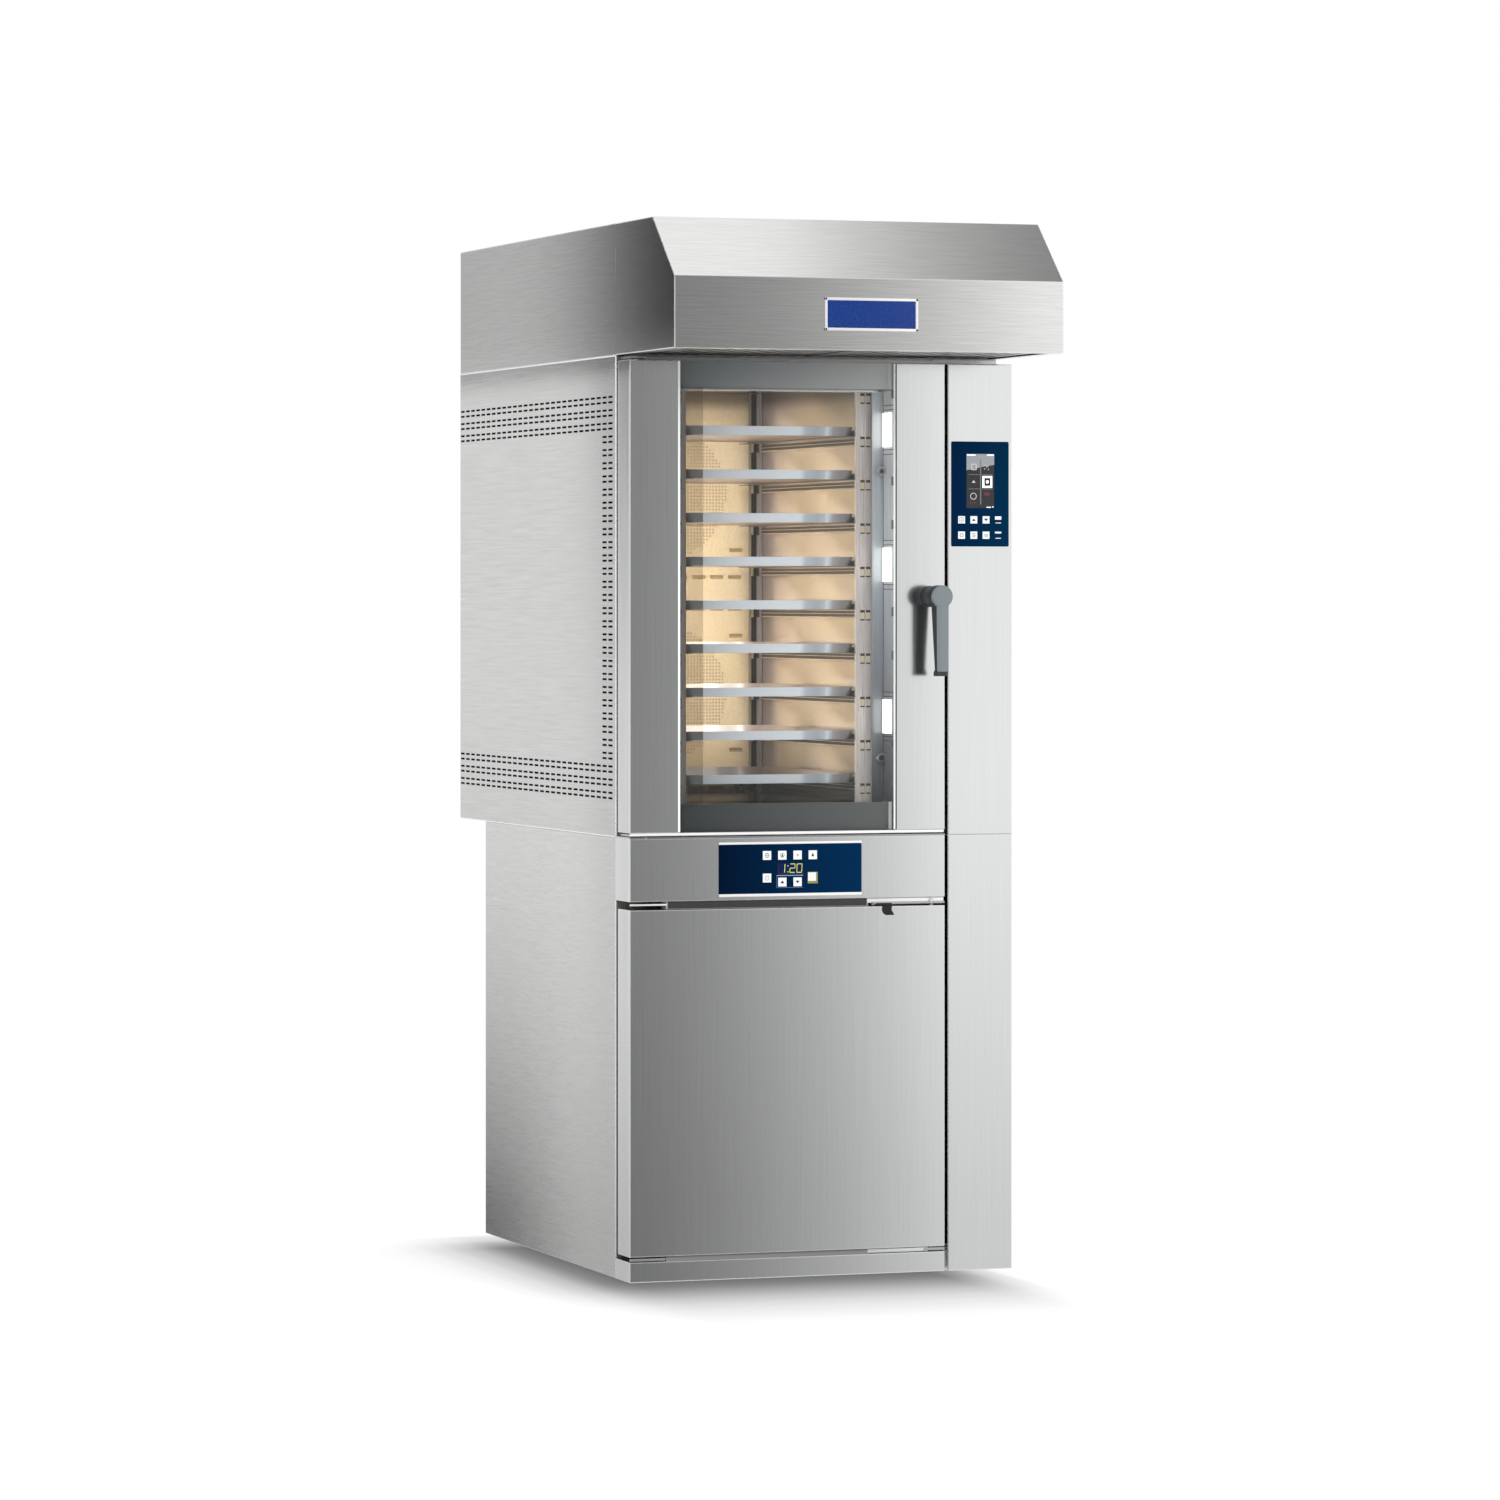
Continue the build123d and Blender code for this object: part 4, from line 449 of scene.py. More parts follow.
def moulded(name, colour, shade, gloss, grain=1.2, coat=0.0, shine=0.5, bump=0.15):
    """One material with a faint grain of the given size in millimetres. Shine is how strongly it mirrors."""
    material, tree, coords = new_finish(name)
    speck = stretched_noise(tree, coords, (grain, grain, grain), detail=3.0)
    tone = blend_colours(tree, span(tree, speck, 0.35, 0.65, 0, 1), shade, colour)
    rough = span(tree, speck, 0.3, 0.7, gloss[0], gloss[1])
    edge = add(tree, "ShaderNodeBevel", {"Radius": 0.6 * MM}, samples=4)
    relief = add(
        tree,
        "ShaderNodeBump",
        {"Strength": bump, "Distance": 0.1 * MM, "Height": speck, "Normal": edge.outputs[0]},
    )
    close(
        tree,
        {
            "Base Color": tone,
            "Roughness": rough,
            "Specular IOR Level": shine,
            "Coat Weight": coat,
            "Normal": relief.outputs[0],
        },
    )
    return material


# The panels' film carries a painted sweep: its colour brightens from left to right as the reflected light
# does.
def film_with_painted_sweep(name, left_colour, right_colour, left, right):
    """Polyester film whose colour runs from the left to the right, in millimetres: a painted sweep of
    reflected light.
    """
    material, tree, coords = new_finish(name)
    along = add(tree, "ShaderNodeSeparateXYZ", {0: coords}).outputs["X"]
    speck = stretched_noise(tree, coords, (1.6, 1.6, 1.6), detail=2.0)
    colour = blend_colours(tree, span(tree, along, left * MM, right * MM, 0, 1), left_colour, right_colour)
    rough = span(tree, speck, 0.3, 0.7, 0.4, 0.5)
    close(tree, {"Base Color": colour, "Roughness": rough, "Specular IOR Level": 0.02})
    return material


panel_low, panel_high = part_box("control_panel_upper")
finishes["panel_blue"] = film_with_painted_sweep("blue_film_painted_sweep", "#001E3F", "#002A47", panel_low.x, panel_high.x)
panel_low, panel_high = part_box("control_panel_lower")
finishes["panel_navy"] = film_with_painted_sweep("navy_film_painted_sweep", "#00132B", "#002A4F", panel_low.x, panel_high.x)
finishes["motor_paint"] = moulded("grey_enamel_paint", "#6F757A", "#5F656A", (0.35, 0.5), 2.0)
finishes["badge_enamel"] = moulded("blue_vitreous_enamel", "#16387F", "#143274", (0.2, 0.3), 6.0, shine=0.25)
finishes["mineral_wool"] = moulded("rock_wool", "#A89A6C", "#7E7350", (0.9, 1.0), 3.0, bump=1.0)
finishes["screen_glass"] = moulded(
    "smoked_screen_glass", "#3A3A3D", "#343437", (0.3, 0.4), 8.0, shine=0.15, bump=0.0
)
finishes["board_green"] = moulded("green_solder_mask", "#1E5A3A", "#194C31", (0.3, 0.42), 2.0)
finishes["handle_plastic"] = moulded("charcoal_glass_filled_nylon", "#2F3538", "#282D30", (0.38, 0.5), 0.8)
finishes["seal_rubber"] = moulded("black_silicone_rubber", "#1C1C1D", "#141415", (0.55, 0.7), 1.0)
finishes["key_white"] = moulded("white_polyester_keys", "#F2F5F6", "#EAEEF0", (0.3, 0.4), 1.0)
print("plain finishes ready")

# %% [markdown]
# ## Lamp windows
# Behind three frosted windows in the door's right stile sit halogen bulbs that light the trays. Frosted
# glass in front of a bulb shows as an even white patch, so a soft emitter with a real bezel round it does.

# %% Lamp window finish


def glowing(name, colour, strength):
    """An even glow, for a frosted window or a lit digit."""
    material, tree, coords = new_finish(name)
    frost = stretched_noise(tree, coords, (9, 9, 9), detail=1.0)
    level = span(tree, frost, 0.3, 0.7, strength * 0.97, strength)
    close(
        tree,
        {
            "Base Color": linear(colour),
            "Roughness": 0.4,
            "Emission Color": linear(colour),
            "Emission Strength": level,
        },
    )
    return material


finishes["lamp_glass"] = glowing("frosted_lamp_glass", "#FFFDF8", 1.6)
print("lamp windows ready")

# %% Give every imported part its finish
for part in parts.values():
    for place in part.material_slots:
        place.material = finishes[place.material.name.split(".")[0]]
grey_silicone = moulded("grey_silicone_rubber", "#9C9B99", "#929190", (0.5, 0.65), 1.0)
for name, finish in (("tray_rack", rack_painted_tint), ("door_gaskets", grey_silicone)):
    for place in parts[name].material_slots:
        place.material = finish
print("finishes given to", len(parts), "parts")

# %% [markdown]
# ## Helpers for pieces
# The small pieces are built as meshes with their place already in their points, so the object itself stays at
# the origin. One helper closes a piece: it points the faces outwards, smooths what is round and keeps what
# is sharp, and fastens it to the body that carries it.

# %% Piece helpers


def finish_piece(name, bm, finish, body, sharp=32):
    """Turns the mesh into a piece of the oven that rides on a body."""
    bmesh.ops.recalc_face_normals(bm, faces=bm.faces)
    mesh = bpy.data.meshes.new(name)
    bm.to_mesh(mesh)
    bm.free()
    mesh.polygons.foreach_set("use_smooth", [True] * len(mesh.polygons))
    mesh.set_sharp_from_angle(angle=math.radians(sharp))
    mesh.materials.append(finish)
    piece = bpy.data.objects.new(name, mesh)
    bpy.context.scene.collection.objects.link(piece)
    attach(piece, body)
    return piece


def add_block(bm, low, high, radius=0.0, segments=2):
    """A block between two corners in millimetres, with rounded edges."""
    low, high = Vector(low), Vector(high)
    made = bmesh.ops.create_cube(bm, size=1.0)["verts"]
    for vert in made:
        share = vert.co + Vector((0.5, 0.5, 0.5))
        vert.co = Vector([(low[i] + (high[i] - low[i]) * share[i]) * MM for i in range(3)])
    if radius > 0:
        edges = list({edge for vert in made for edge in vert.link_edges})
        bmesh.ops.bevel(
            bm,
            geom=edges,
            offset=radius * MM,
            segments=segments,
            profile=0.5,
            affect="EDGES",
            clamp_overlap=True,
        )


def block_piece(name, low, high, finish, body, radius=0.0):
    """A piece that is one block."""
    bm = bmesh.new()
    add_block(bm, low, high, radius)
    return finish_piece(name, bm, finish, body)


def loft(bm, rings, closed_ends=True):
    """Skin over rings of points in millimetres that all have the same count."""
    loops = [[bm.verts.new(Vector(point) * MM) for point in ring] for ring in rings]
    count = len(loops[0])
    for first, second in zip(loops, loops[1:]):
        for i in range(count):
            j = (i + 1) % count
            bm.faces.new((first[i], first[j], second[j], second[i]))
    if closed_ends:
        bm.faces.new(loops[0][::-1])
        bm.faces.new(loops[-1])


def circle(radius, count=48):
    """Points of a circle, as pairs."""
    turns = [2 * math.pi * i / count for i in range(count)]
    return [(radius * math.cos(turn), radius * math.sin(turn)) for turn in turns]


def turned(bm, centre, profile, count=48):
    """A shape turned round an axis along Y. The profile is pairs of Y and radius, in millimetres."""
    rings = [[(centre[0] + x, y, centre[1] + z) for x, z in circle(radius, count)] for y, radius in profile]
    loft(bm, rings)


print("piece helpers ready")

# %% [markdown]
# ## Door handle
# The handle is two mouldings clipped together: a charcoal body with the neck, the back of the lever and its
# foot, and a grey cover with the round cap and the crowned front of the lever. Two colours on one mesh
# would do for a far view, but the joint between them is a real edge that shows, so each is a mesh of its own.

# %% Door handle
handle_low, handle_high = part_box("door_handle")
CAP_RADIUS = 24.5
LEVER_WIDTH = 27
LEVER_TIP_WIDTH = 24
LEVER_DEEP = 41
LEVER_TIP_DEEP = 19
LEVER_FOOT = 10
COVER_THICK = 4

handle_x = (handle_low.x + handle_high.x) / 2
handle_z = handle_high.z - CAP_RADIUS
handle_face = handle_low.y
handle_tip = handle_low.z
cover_grey = moulded("grey_glass_filled_nylon", "#7B8487", "#70797C", (0.3, 0.42), 0.8)


def lever_half_width(z):
    """Half of the lever's width, which narrows towards its tip."""
    share = (handle_z - z) / (handle_z - handle_tip)
    return (LEVER_WIDTH + (LEVER_TIP_WIDTH - LEVER_WIDTH) * share) / 2


body = bmesh.new()
turned(
    body,
    (handle_x, handle_z),
    [
        (handle_face + 9, CAP_RADIUS - 0.6),
        (handle_face + 10, CAP_RADIUS),
        (handle_face + LEVER_DEEP - 2, CAP_RADIUS),
        (handle_face + LEVER_DEEP, CAP_RADIUS - 1),
        (handle_high.y - 6, CAP_RADIUS - 2.5),
        (handle_high.y - 1, CAP_RADIUS - 1),
        (handle_high.y, CAP_RADIUS - 1.4),
    ],
)
spine = []
for step in range(25):
    z = handle_z - (handle_z - handle_tip - 0.1) * step / 24
    share = (handle_z - z) / (handle_z - handle_tip)
    deep = LEVER_DEEP + (LEVER_TIP_DEEP - LEVER_DEEP) * share
    if z < handle_tip + LEVER_FOOT:
        deep = LEVER_TIP_DEEP + LEVER_FOOT
    half = lever_half_width(z)
    near = handle_face + COVER_THICK if z > handle_tip + LEVER_FOOT else handle_face + 1.5
    spine.append(
        [
            (handle_x - half, near, z),
            (handle_x + half, near, z),
            (handle_x + half, handle_face + deep - 3, z),
            (handle_x + half - 3, handle_face + deep, z),
            (handle_x - half + 3, handle_face + deep, z),
            (handle_x - half, handle_face + deep - 3, z),
        ]
    )
loft(body, spine)
handle_body = finish_piece(
    "handle_body", body, finishes["handle_plastic"], "door_handle_lever"
)
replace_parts(handle_body, "door_handle")

cover = bmesh.new()
turned(
    cover,
    (handle_x, handle_z),
    [
        (handle_face + 9, CAP_RADIUS - 0.4),
        (handle_face + 3, CAP_RADIUS),
        (handle_face + 1.2, CAP_RADIUS - 0.8),
        (handle_face + 0.5, CAP_RADIUS - 2.2),
        (handle_face + 0.1, CAP_RADIUS - 6),
        (handle_face, 0.5),
    ],
)
crown = []
for step in range(13):
    z = handle_z - (handle_z - handle_tip - LEVER_FOOT) * step / 12
    half = lever_half_width(z)
    front = []
    for i in range(9):
        share = i / 4 - 1
        front.append((handle_x + half * share, handle_face + 0.6 + 2.6 * share ** 2, z))
    back_y = handle_face + COVER_THICK
    crown.append(front + [(handle_x + half, back_y, z), (handle_x - half, back_y, z)])
loft(cover, crown)
finish_piece("handle_cover", cover, cover_grey, "door_handle_lever")
print("handle made, cap at", round(handle_x, 1), round(handle_z, 1))

# %% [markdown]
# ## Fan baffle with its punched grids
# A perforated sheet hides the fans. Each fan draws air through a round field of small square holes, and blows
# it back through oblong slots at the sides. The slots are few, so the sheet is built as a patchwork of
# rectangles with the holes left out. The fields have over a thousand holes each, which is work for geometry
# nodes: a fine grid whose lines are moved apart, with every second cell inside the circle taken away. Behind
# the sheet hangs a grease screen of the same tint, so the holes read as a fine pattern and not as black dots.

# %% Node helper for geometry


def math_step(tree, operation, first, second=0.0):
    """One sum in a node tree."""
    return add(tree, "ShaderNodeMath", {0: first, 1: second}, operation=operation).outputs[0]


def node_group(name, inputs):
    """An empty geometry node group with one geometry output and the inputs named, as (name, type, value)."""
    group = bpy.data.node_groups.new(name, "GeometryNodeTree")
    group.interface.new_socket("Geometry", in_out="OUTPUT", socket_type="NodeSocketGeometry")
    sockets = {}
    for label, kind, value in inputs:
        socket = group.interface.new_socket(label, in_out="INPUT", socket_type=kind)
        if value is not None:
            socket.default_value = value
        sockets[label] = socket.identifier
    return group, sockets, add(group, "NodeGroupInput").outputs


def grown(name, group, sockets, values):
    """Runs a node group and returns its mesh as a mesh of its own."""
    carrier = bpy.data.objects.new(name + "_nodes", bpy.data.meshes.new(name + "_nodes"))
    bpy.context.scene.collection.objects.link(carrier)
    modifier = carrier.modifiers.new("nodes", "NODES")
    modifier.node_group = group
    for label, value in values.items():
        modifier[sockets[label]] = value
    shaped = carrier.evaluated_get(bpy.context.evaluated_depsgraph_get())
    mesh = bpy.data.meshes.new_from_object(shaped)
    carrier.modifiers.remove(modifier)
    bpy.data.objects.remove(carrier)
    return mesh


print("geometry helpers ready")

# %% Punched field as geometry nodes
punched, punched_inputs, given = node_group(
    "punched_field",
    [
        ("Holes across", "NodeSocketInt", 41),
        ("Pitch", "NodeSocketFloat", 0.0077),
        ("Hole", "NodeSocketFloat", 0.0040),
        ("Field radius", "NodeSocketFloat", 0.155),
        ("Finish", "NodeSocketMaterial", None),
    ],
)
cells = math_step(punched, "ADD", math_step(punched, "MULTIPLY", given["Holes across"], 2.0), 1.0)
step = math_step(punched, "MULTIPLY", given["Pitch"], 0.5)
side = math_step(punched, "MULTIPLY", cells, step)
lines_across = math_step(punched, "ADD", cells, 1.0)
sheet = add(
    punched,
    "GeometryNodeMeshGrid",
    {"Size X": side, "Size Y": side, "Vertices X": lines_across, "Vertices Y": lines_across},
)
where = add(punched, "ShaderNodeSeparateXYZ", {0: add(punched, "GeometryNodeInputPosition").outputs[0]})
half_side = math_step(punched, "MULTIPLY", side, 0.5)
widen = math_step(punched, "MULTIPLY", math_step(punched, "SUBTRACT", given["Hole"], step), 0.5)
moves = []
odd_cells = []
for axis in "XY":
    count = math_step(punched, "DIVIDE", math_step(punched, "ADD", where.outputs[axis], half_side), step)
    line = math_step(punched, "MODULO", math_step(punched, "ROUND", count), 2.0)
    turn = math_step(punched, "ADD", math_step(punched, "MULTIPLY", line, -2.0), 1.0)
    moves.append(math_step(punched, "MULTIPLY", turn, widen))
    odd_cells.append(math_step(punched, "MODULO", math_step(punched, "FLOOR", count), 2.0))
offset = add(punched, "ShaderNodeCombineXYZ", {"X": moves[0], "Y": moves[1]}).outputs[0]
across = math_step(punched, "MULTIPLY", where.outputs["X"], where.outputs["X"])
up = math_step(punched, "MULTIPLY", where.outputs["Y"], where.outputs["Y"])
distance = math_step(punched, "SQRT", math_step(punched, "ADD", across, up))
inside = math_step(punched, "LESS_THAN", distance, given["Field radius"])
both_odd = math_step(punched, "MULTIPLY", odd_cells[0], odd_cells[1])
is_hole = math_step(punched, "MULTIPLY", inside, both_odd)
is_hole = math_step(punched, "GREATER_THAN", is_hole, 0.5)
opened = add(
    punched,
    "GeometryNodeDeleteGeometry",
    {"Geometry": sheet.outputs["Mesh"], "Selection": is_hole},
    domain="FACE",
)
moved = add(punched, "GeometryNodeSetPosition", {"Geometry": opened.outputs[0], "Offset": offset})
whole = add(punched, "GeometryNodeRealizeInstances", {"Geometry": moved.outputs[0]})
painted = add(
    punched, "GeometryNodeSetMaterial", {"Geometry": whole.outputs[0], "Material": given["Finish"]}
)
add(punched, "NodeGroupOutput", {"Geometry": painted.outputs[0]})
field_mesh = grown("intake_field", punched, punched_inputs, {"Finish": baffle_tint})
print("punched field with", len(field_mesh.polygons), "faces")

# %% Baffle sheet round the fields
baffle_low, baffle_high = part_box("fan_baffle")
baffle_mid = (baffle_low.x + baffle_high.x) / 2
FIELD_CELLS, FIELD_PITCH = 83, 7.7
FIELD_HALF = FIELD_CELLS * FIELD_PITCH / 4
SLOT_OUT, SLOT_UP, HALF_SLOT, HALF_SLIT = 179, 133, 16, 4.5
MIDDLE_SLOT_STEP, FLOOR_SLOT_STEP = 44, 48.3
FAN_HEIGHTS = [baffle_low.z + (baffle_high.z - baffle_low.z) * share for share in (0.25, 0.75)]


def pierced_sheet(bm, x_range, z_range, depth, holes, sideways=False):
    """A flat sheet of rectangles with the holes left out. Holes are (x0, x1, z0, z1) in millimetres, or with
    Y in the place of X where the sheet stands sideways."""
    xs = sorted({*x_range, *[value for hole in holes for value in hole[:2]]})
    zs = sorted({*z_range, *[value for hole in holes for value in hole[2:]]})
    grid = {}
    for a in xs:
        for z in zs:
            grid[a, z] = bm.verts.new(mm(depth, a, z) if sideways else mm(a, depth, z))
    for x0, x1 in zip(xs, xs[1:]):
        for z0, z1 in zip(zs, zs[1:]):
            mid_x, mid_z = (x0 + x1) / 2, (z0 + z1) / 2
            if not any(a < mid_x < b and c < mid_z < d for a, b, c, d in holes):
                bm.faces.new((grid[x0, z0], grid[x1, z0], grid[x1, z1], grid[x0, z1]))
    loose = [vert for vert in bm.verts if not vert.link_faces]
    bmesh.ops.delete(bm, geom=loose, context="VERTS")


holes = []
for z in FAN_HEIGHTS:
    holes.append((baffle_mid - FIELD_HALF, baffle_mid + FIELD_HALF, z - FIELD_HALF, z + FIELD_HALF))
    for x in (baffle_mid - SLOT_OUT, baffle_mid + SLOT_OUT):
        for up in (z - SLOT_UP, z + SLOT_UP):
            holes.append((x - HALF_SLOT, x + HALF_SLOT, up - HALF_SLIT, up + HALF_SLIT))
middle_z = (baffle_low.z + baffle_high.z) / 2
for up in (middle_z - 37, middle_z + 37):
    for column in range(-4, 5):
        x = baffle_mid + column * MIDDLE_SLOT_STEP
        holes.append((x - HALF_SLOT, x + HALF_SLOT, up - HALF_SLIT, up + HALF_SLIT))
for column in range(-4, 3):
    x = baffle_mid + 35 + column * FLOOR_SLOT_STEP
    holes.append((x - 20, x + 20, baffle_low.z + 6, baffle_low.z + 16))
baffle = bmesh.new()
pierced_sheet(baffle, (baffle_low.x, baffle_high.x), (baffle_low.z, baffle_high.z), baffle_low.y + 0.2, holes)
for fold_x in (baffle_low.x + 0.2, baffle_high.x - 0.2):
    corners = [
        (fold_x, baffle_low.y + 0.2, baffle_low.z),
        (fold_x, baffle_high.y, baffle_low.z),
        (fold_x, baffle_high.y, baffle_high.z),
        (fold_x, baffle_low.y + 0.2, baffle_high.z),
    ]
    baffle.faces.new([baffle.verts.new(mm(*corner)) for corner in corners])
for z in FAN_HEIGHTS:
    before = set(baffle.verts)
    baffle.from_mesh(field_mesh)
    for vert in set(baffle.verts) - before:
        vert.co = Vector((vert.co.x, 0, vert.co.y)) + mm(baffle_mid, baffle_low.y + 0.2, z)
baffle_sheet = finish_piece("baffle_sheet", baffle, baffle_tint, "cabinet")
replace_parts(baffle_sheet, "fan_baffle")
screen_near, screen_far = baffle_low + Vector((3, 5, 3)), baffle_high - Vector((3, 4, 3))
block_piece(
    "grease_screen",
    screen_near,
    (screen_far.x, screen_near.y + 0.5, screen_far.z),
    screen_tint,
    "cabinet",
)
print("baffle with", len(holes) - 2, "slots and two punched fields")

# %% [markdown]
# ## Name plate
# The plate on the hood is a pressed tray of polished steel with an enamelled field. On this oven it stays
# bare. Its rim is a real rounded frame, because the light on the rim is what makes it read as metal.

# %% Name plate
plate_low, plate_high = part_box("badge_plate")
plate_silver = brushed_steel(
    "polished_plate_rim", "#F8F8F8", "#F0F0F0", (0.2, 0.26), line=0.8, run=40, metal=0.45
)
RIM = 6.2
rim = bmesh.new()
for low, high in (
    ((plate_low.x, plate_low.z), (plate_high.x, plate_low.z + RIM)),
    ((plate_low.x, plate_high.z - RIM), (plate_high.x, plate_high.z)),
    ((plate_low.x, plate_low.z), (plate_low.x + RIM, plate_high.z)),
    ((plate_high.x - RIM, plate_low.z), (plate_high.x, plate_high.z)),
):
    add_block(rim, (low[0], plate_low.y, low[1]), (high[0], plate_high.y, high[1]), 1.2)
plate_rim = finish_piece("name_plate_rim", rim, plate_silver, "cabinet")
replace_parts(plate_rim, "badge_plate")
block_piece(
    "name_plate_field",
    (plate_low.x + RIM - 0.5, plate_low.y + 1.4, plate_low.z + RIM - 0.5),
    (plate_high.x - RIM + 0.5, plate_high.y, plate_high.z - RIM + 0.5),
    finishes["badge_enamel"],
    "cabinet",
    0.3,
)
print("name plate", round(plate_high.x - plate_low.x, 1), "mm wide")

# %% [markdown]
# ## Printed marks
# Legends on keys and the picture on a display are flat prints. Each print here is a plate a tenth of a
# millimetre thick in front of its surface, with its own ink or its own glow. The shapes are drawn as outlines
# in the plane of the panel, and small functions give the ones that come back: bars, rings and triangles.

# %% Print helpers


def flat(bm, points, y):
    """One flat outline that faces the front. Points are (x, z) in millimetres."""
    bm.faces.new([bm.verts.new(mm(x, y, z)) for x, z in points])


def bar(bm, x0, x1, z0, z1, y):
    """A filled rectangle."""
    flat(bm, [(x0, z0), (x1, z0), (x1, z1), (x0, z1)], y)


def ring(bm, x, z, outer, inner, y, count=28):
    """A ring as a strip of four-sided faces."""
    far = [bm.verts.new(mm(x + a, y, z + b)) for a, b in circle(outer, count)]
    near = [bm.verts.new(mm(x + a, y, z + b)) for a, b in circle(inner, count)]
    for i in range(count):
        j = (i + 1) % count
        bm.faces.new((far[i], far[j], near[j], near[i]))


def triangle(bm, x, z, size, y, up=True):
    """A triangle that points up or down."""
    tip = size if up else -size
    flat(bm, [(x - size, z - tip * 0.55), (x + size, z - tip * 0.55), (x, z + tip * 0.65)], y)


def outline(bm, x0, x1, z0, z1, width, y):
    """A rectangular frame."""
    bar(bm, x0, x1, z0, z0 + width, y)
    bar(bm, x0, x1, z1 - width, z1, y)
    bar(bm, x0, x0 + width, z0 + width, z1 - width, y)
    bar(bm, x1 - width, x1, z0 + width, z1 - width, y)


def ink(name, colour):
    """Plain printing ink."""
    return moulded(name, colour, colour, (0.5, 0.6), 1.0, shine=0.1, bump=0.0)


ink_black = ink("black_key_ink", "#0B0D0E")
ink_grey = ink("grey_key_ink", "#6F777B")
olive_ink = ink("olive_panel_ink", "#8F8C55")
ink_white = ink("white_panel_ink", "#EEF3F7")
ink_blue = ink("pale_blue_panel_ink", "#8DA6D6")
print("print helpers ready")

# %% Legends on the upper keys


def cap_of(name):
    """Edges of the white cap that is printed on a key's film: left, right, bottom and top."""
    low, high = part_box(name)
    if name == "lower_key_start":
        return low.x + 0.9, low.x + 19.3, high.z - 19.5, high.z - 1.1
    if name.startswith("upper"):
        return low.x + 0.3, low.x + 16.5, high.z - 17.2, high.z - 1.0
    return low.x + 0.4, low.x + 19.8, high.z - 19.8, high.z - 0.4


def place_of(name):
    """Middle of a key's white cap, and the plane just in front of it."""
    left, right, bottom, top = cap_of(name)
    return (left + right) / 2, (bottom + top) / 2, part_box(name)[0].y - 0.12


def legend(name, draw, finish):
    """One key: its blue film, the white cap printed on it and the legend, all riding on the key."""
    film = finishes["panel_blue" if name.startswith("upper") else "panel_navy"]
    for place in parts[name].material_slots:
        place.material = film
    cap = bmesh.new()
    bar(cap, *cap_of(name), part_box(name)[0].y - 0.07)
    finish_piece("cap_" + name, cap, finishes["key_white"], name)
    bm = bmesh.new()
    draw(bm, *place_of(name))
    finish_piece("legend_" + name, bm, finish, name)


def page(bm, x, z, y):
    """A sheet of paper with two lines of text."""
    outline(bm, x - 5, x + 4.4, z - 6, z + 5.5, 0.9, y)
    bar(bm, x - 2.6, x + 2.2, z + 1, z + 2.2, y)
    bar(bm, x - 2.6, x + 2.2, z - 2.6, z - 1.4, y)


def list_lines(bm, x, z, y):
    """Three lines of a list."""
    for up in (-3.6, 0, 3.6):
        bar(bm, x - 3.6, x + 4.2, z + up - 0.7, z + up + 0.7, y)


def cloud_of_steam(bm, x, z, y):
    """Two short arcs over a line, for steam."""
    bar(bm, x - 4.2, x + 4.2, z - 4.2, z - 3, y)
    ring(bm, x - 2.2, z + 0.6, 2.4, 1.5, y, 16)
    ring(bm, x + 2.2, z + 0.6, 2.4, 1.5, y, 16)


legend("upper_key_menu", page, ink_grey)
legend("upper_key_up", lambda bm, x, z, y: triangle(bm, x, z, 4.4, y), ink_black)
legend("upper_key_down", lambda bm, x, z, y: triangle(bm, x, z, 4.8, y, False), ink_black)
legend("upper_key_start", lambda bm, x, z, y: ring(bm, x, z, 4.4, 3.0, y), ink_grey)
legend("upper_key_fan", list_lines, ink_grey)
legend("upper_key_steam", cloud_of_steam, ink_grey)
print("six legends on the upper panel")

# %% Legends on the lower keys


def ring_with(glyph):
    """A faint ring with a small sign inside it."""

    def draw(bm, x, z, y):
        ring(bm, x, z, 5.2, 4.2, y)
        glyph(bm, x, z, y)

    return draw


def blades(bm, x, z, y):
    """Three fan blades."""
    for turn in (90, 210, 330):
        a = math.radians(turn)
        b = math.radians(turn + 55)
        far = (x + 4.4 * math.cos(a), z + 4.4 * math.sin(a))
        near = (x + 3 * math.cos(b), z + 3 * math.sin(b))
        flat(bm, [(x, z), far, near], y)


def drop(bm, x, z, y):
    """A small drop or bulb."""
    ring(bm, x, z - 1.2, 2.6, 0.05, y, 14)
    bar(bm, x - 0.9, x + 0.9, z + 1.0, z + 4.0, y)


legend("lower_key_heat", ring_with(lambda bm, x, z, y: list_lines(bm, x - 0.2, z, y)), ink_grey)
legend("lower_key_humidity", ring_with(drop), ink_grey)
legend("lower_key_fan", blades, ink_grey)
legend("lower_key_lamp", drop, ink_black)
legend("lower_key_timer", ring_with(lambda bm, x, z, y: bar(bm, x - 0.5, x + 0.5, z, z + 3, y)), ink_grey)
legend("lower_key_up", lambda bm, x, z, y: triangle(bm, x, z, 4.8, y), ink_black)
legend("lower_key_down", lambda bm, x, z, y: triangle(bm, x, z, 4.8, y, False), ink_black)
start_ink = ink("faint_orange_key_ink", "#F0DDC8")



def frame_sign(bm, x, z, y):
    """A small square frame."""
    outline(bm, x - 4.5, x + 4.5, z - 4.5, z + 4.5, 1.2, y)


legend("lower_key_start", frame_sign, start_ink)
start_low, start_high = part_box("lower_key_start")
olive = bmesh.new()
bar(olive, start_low.x, start_low.x + 23.4, start_high.z - 25, start_high.z, start_low.y - 0.03)
finish_piece("start_key_frame", olive, olive_ink, "lower_key_start")
print("eight legends on the lower panel")

# %% [markdown]
# ## Prints and trims of the panels
# The upper panel has, in its fourth column, two printed signs that are not keys. The lower panel is held by
# two bright aluminium strips, one above and one below, and has a fine bracket printed round the arrow keys.

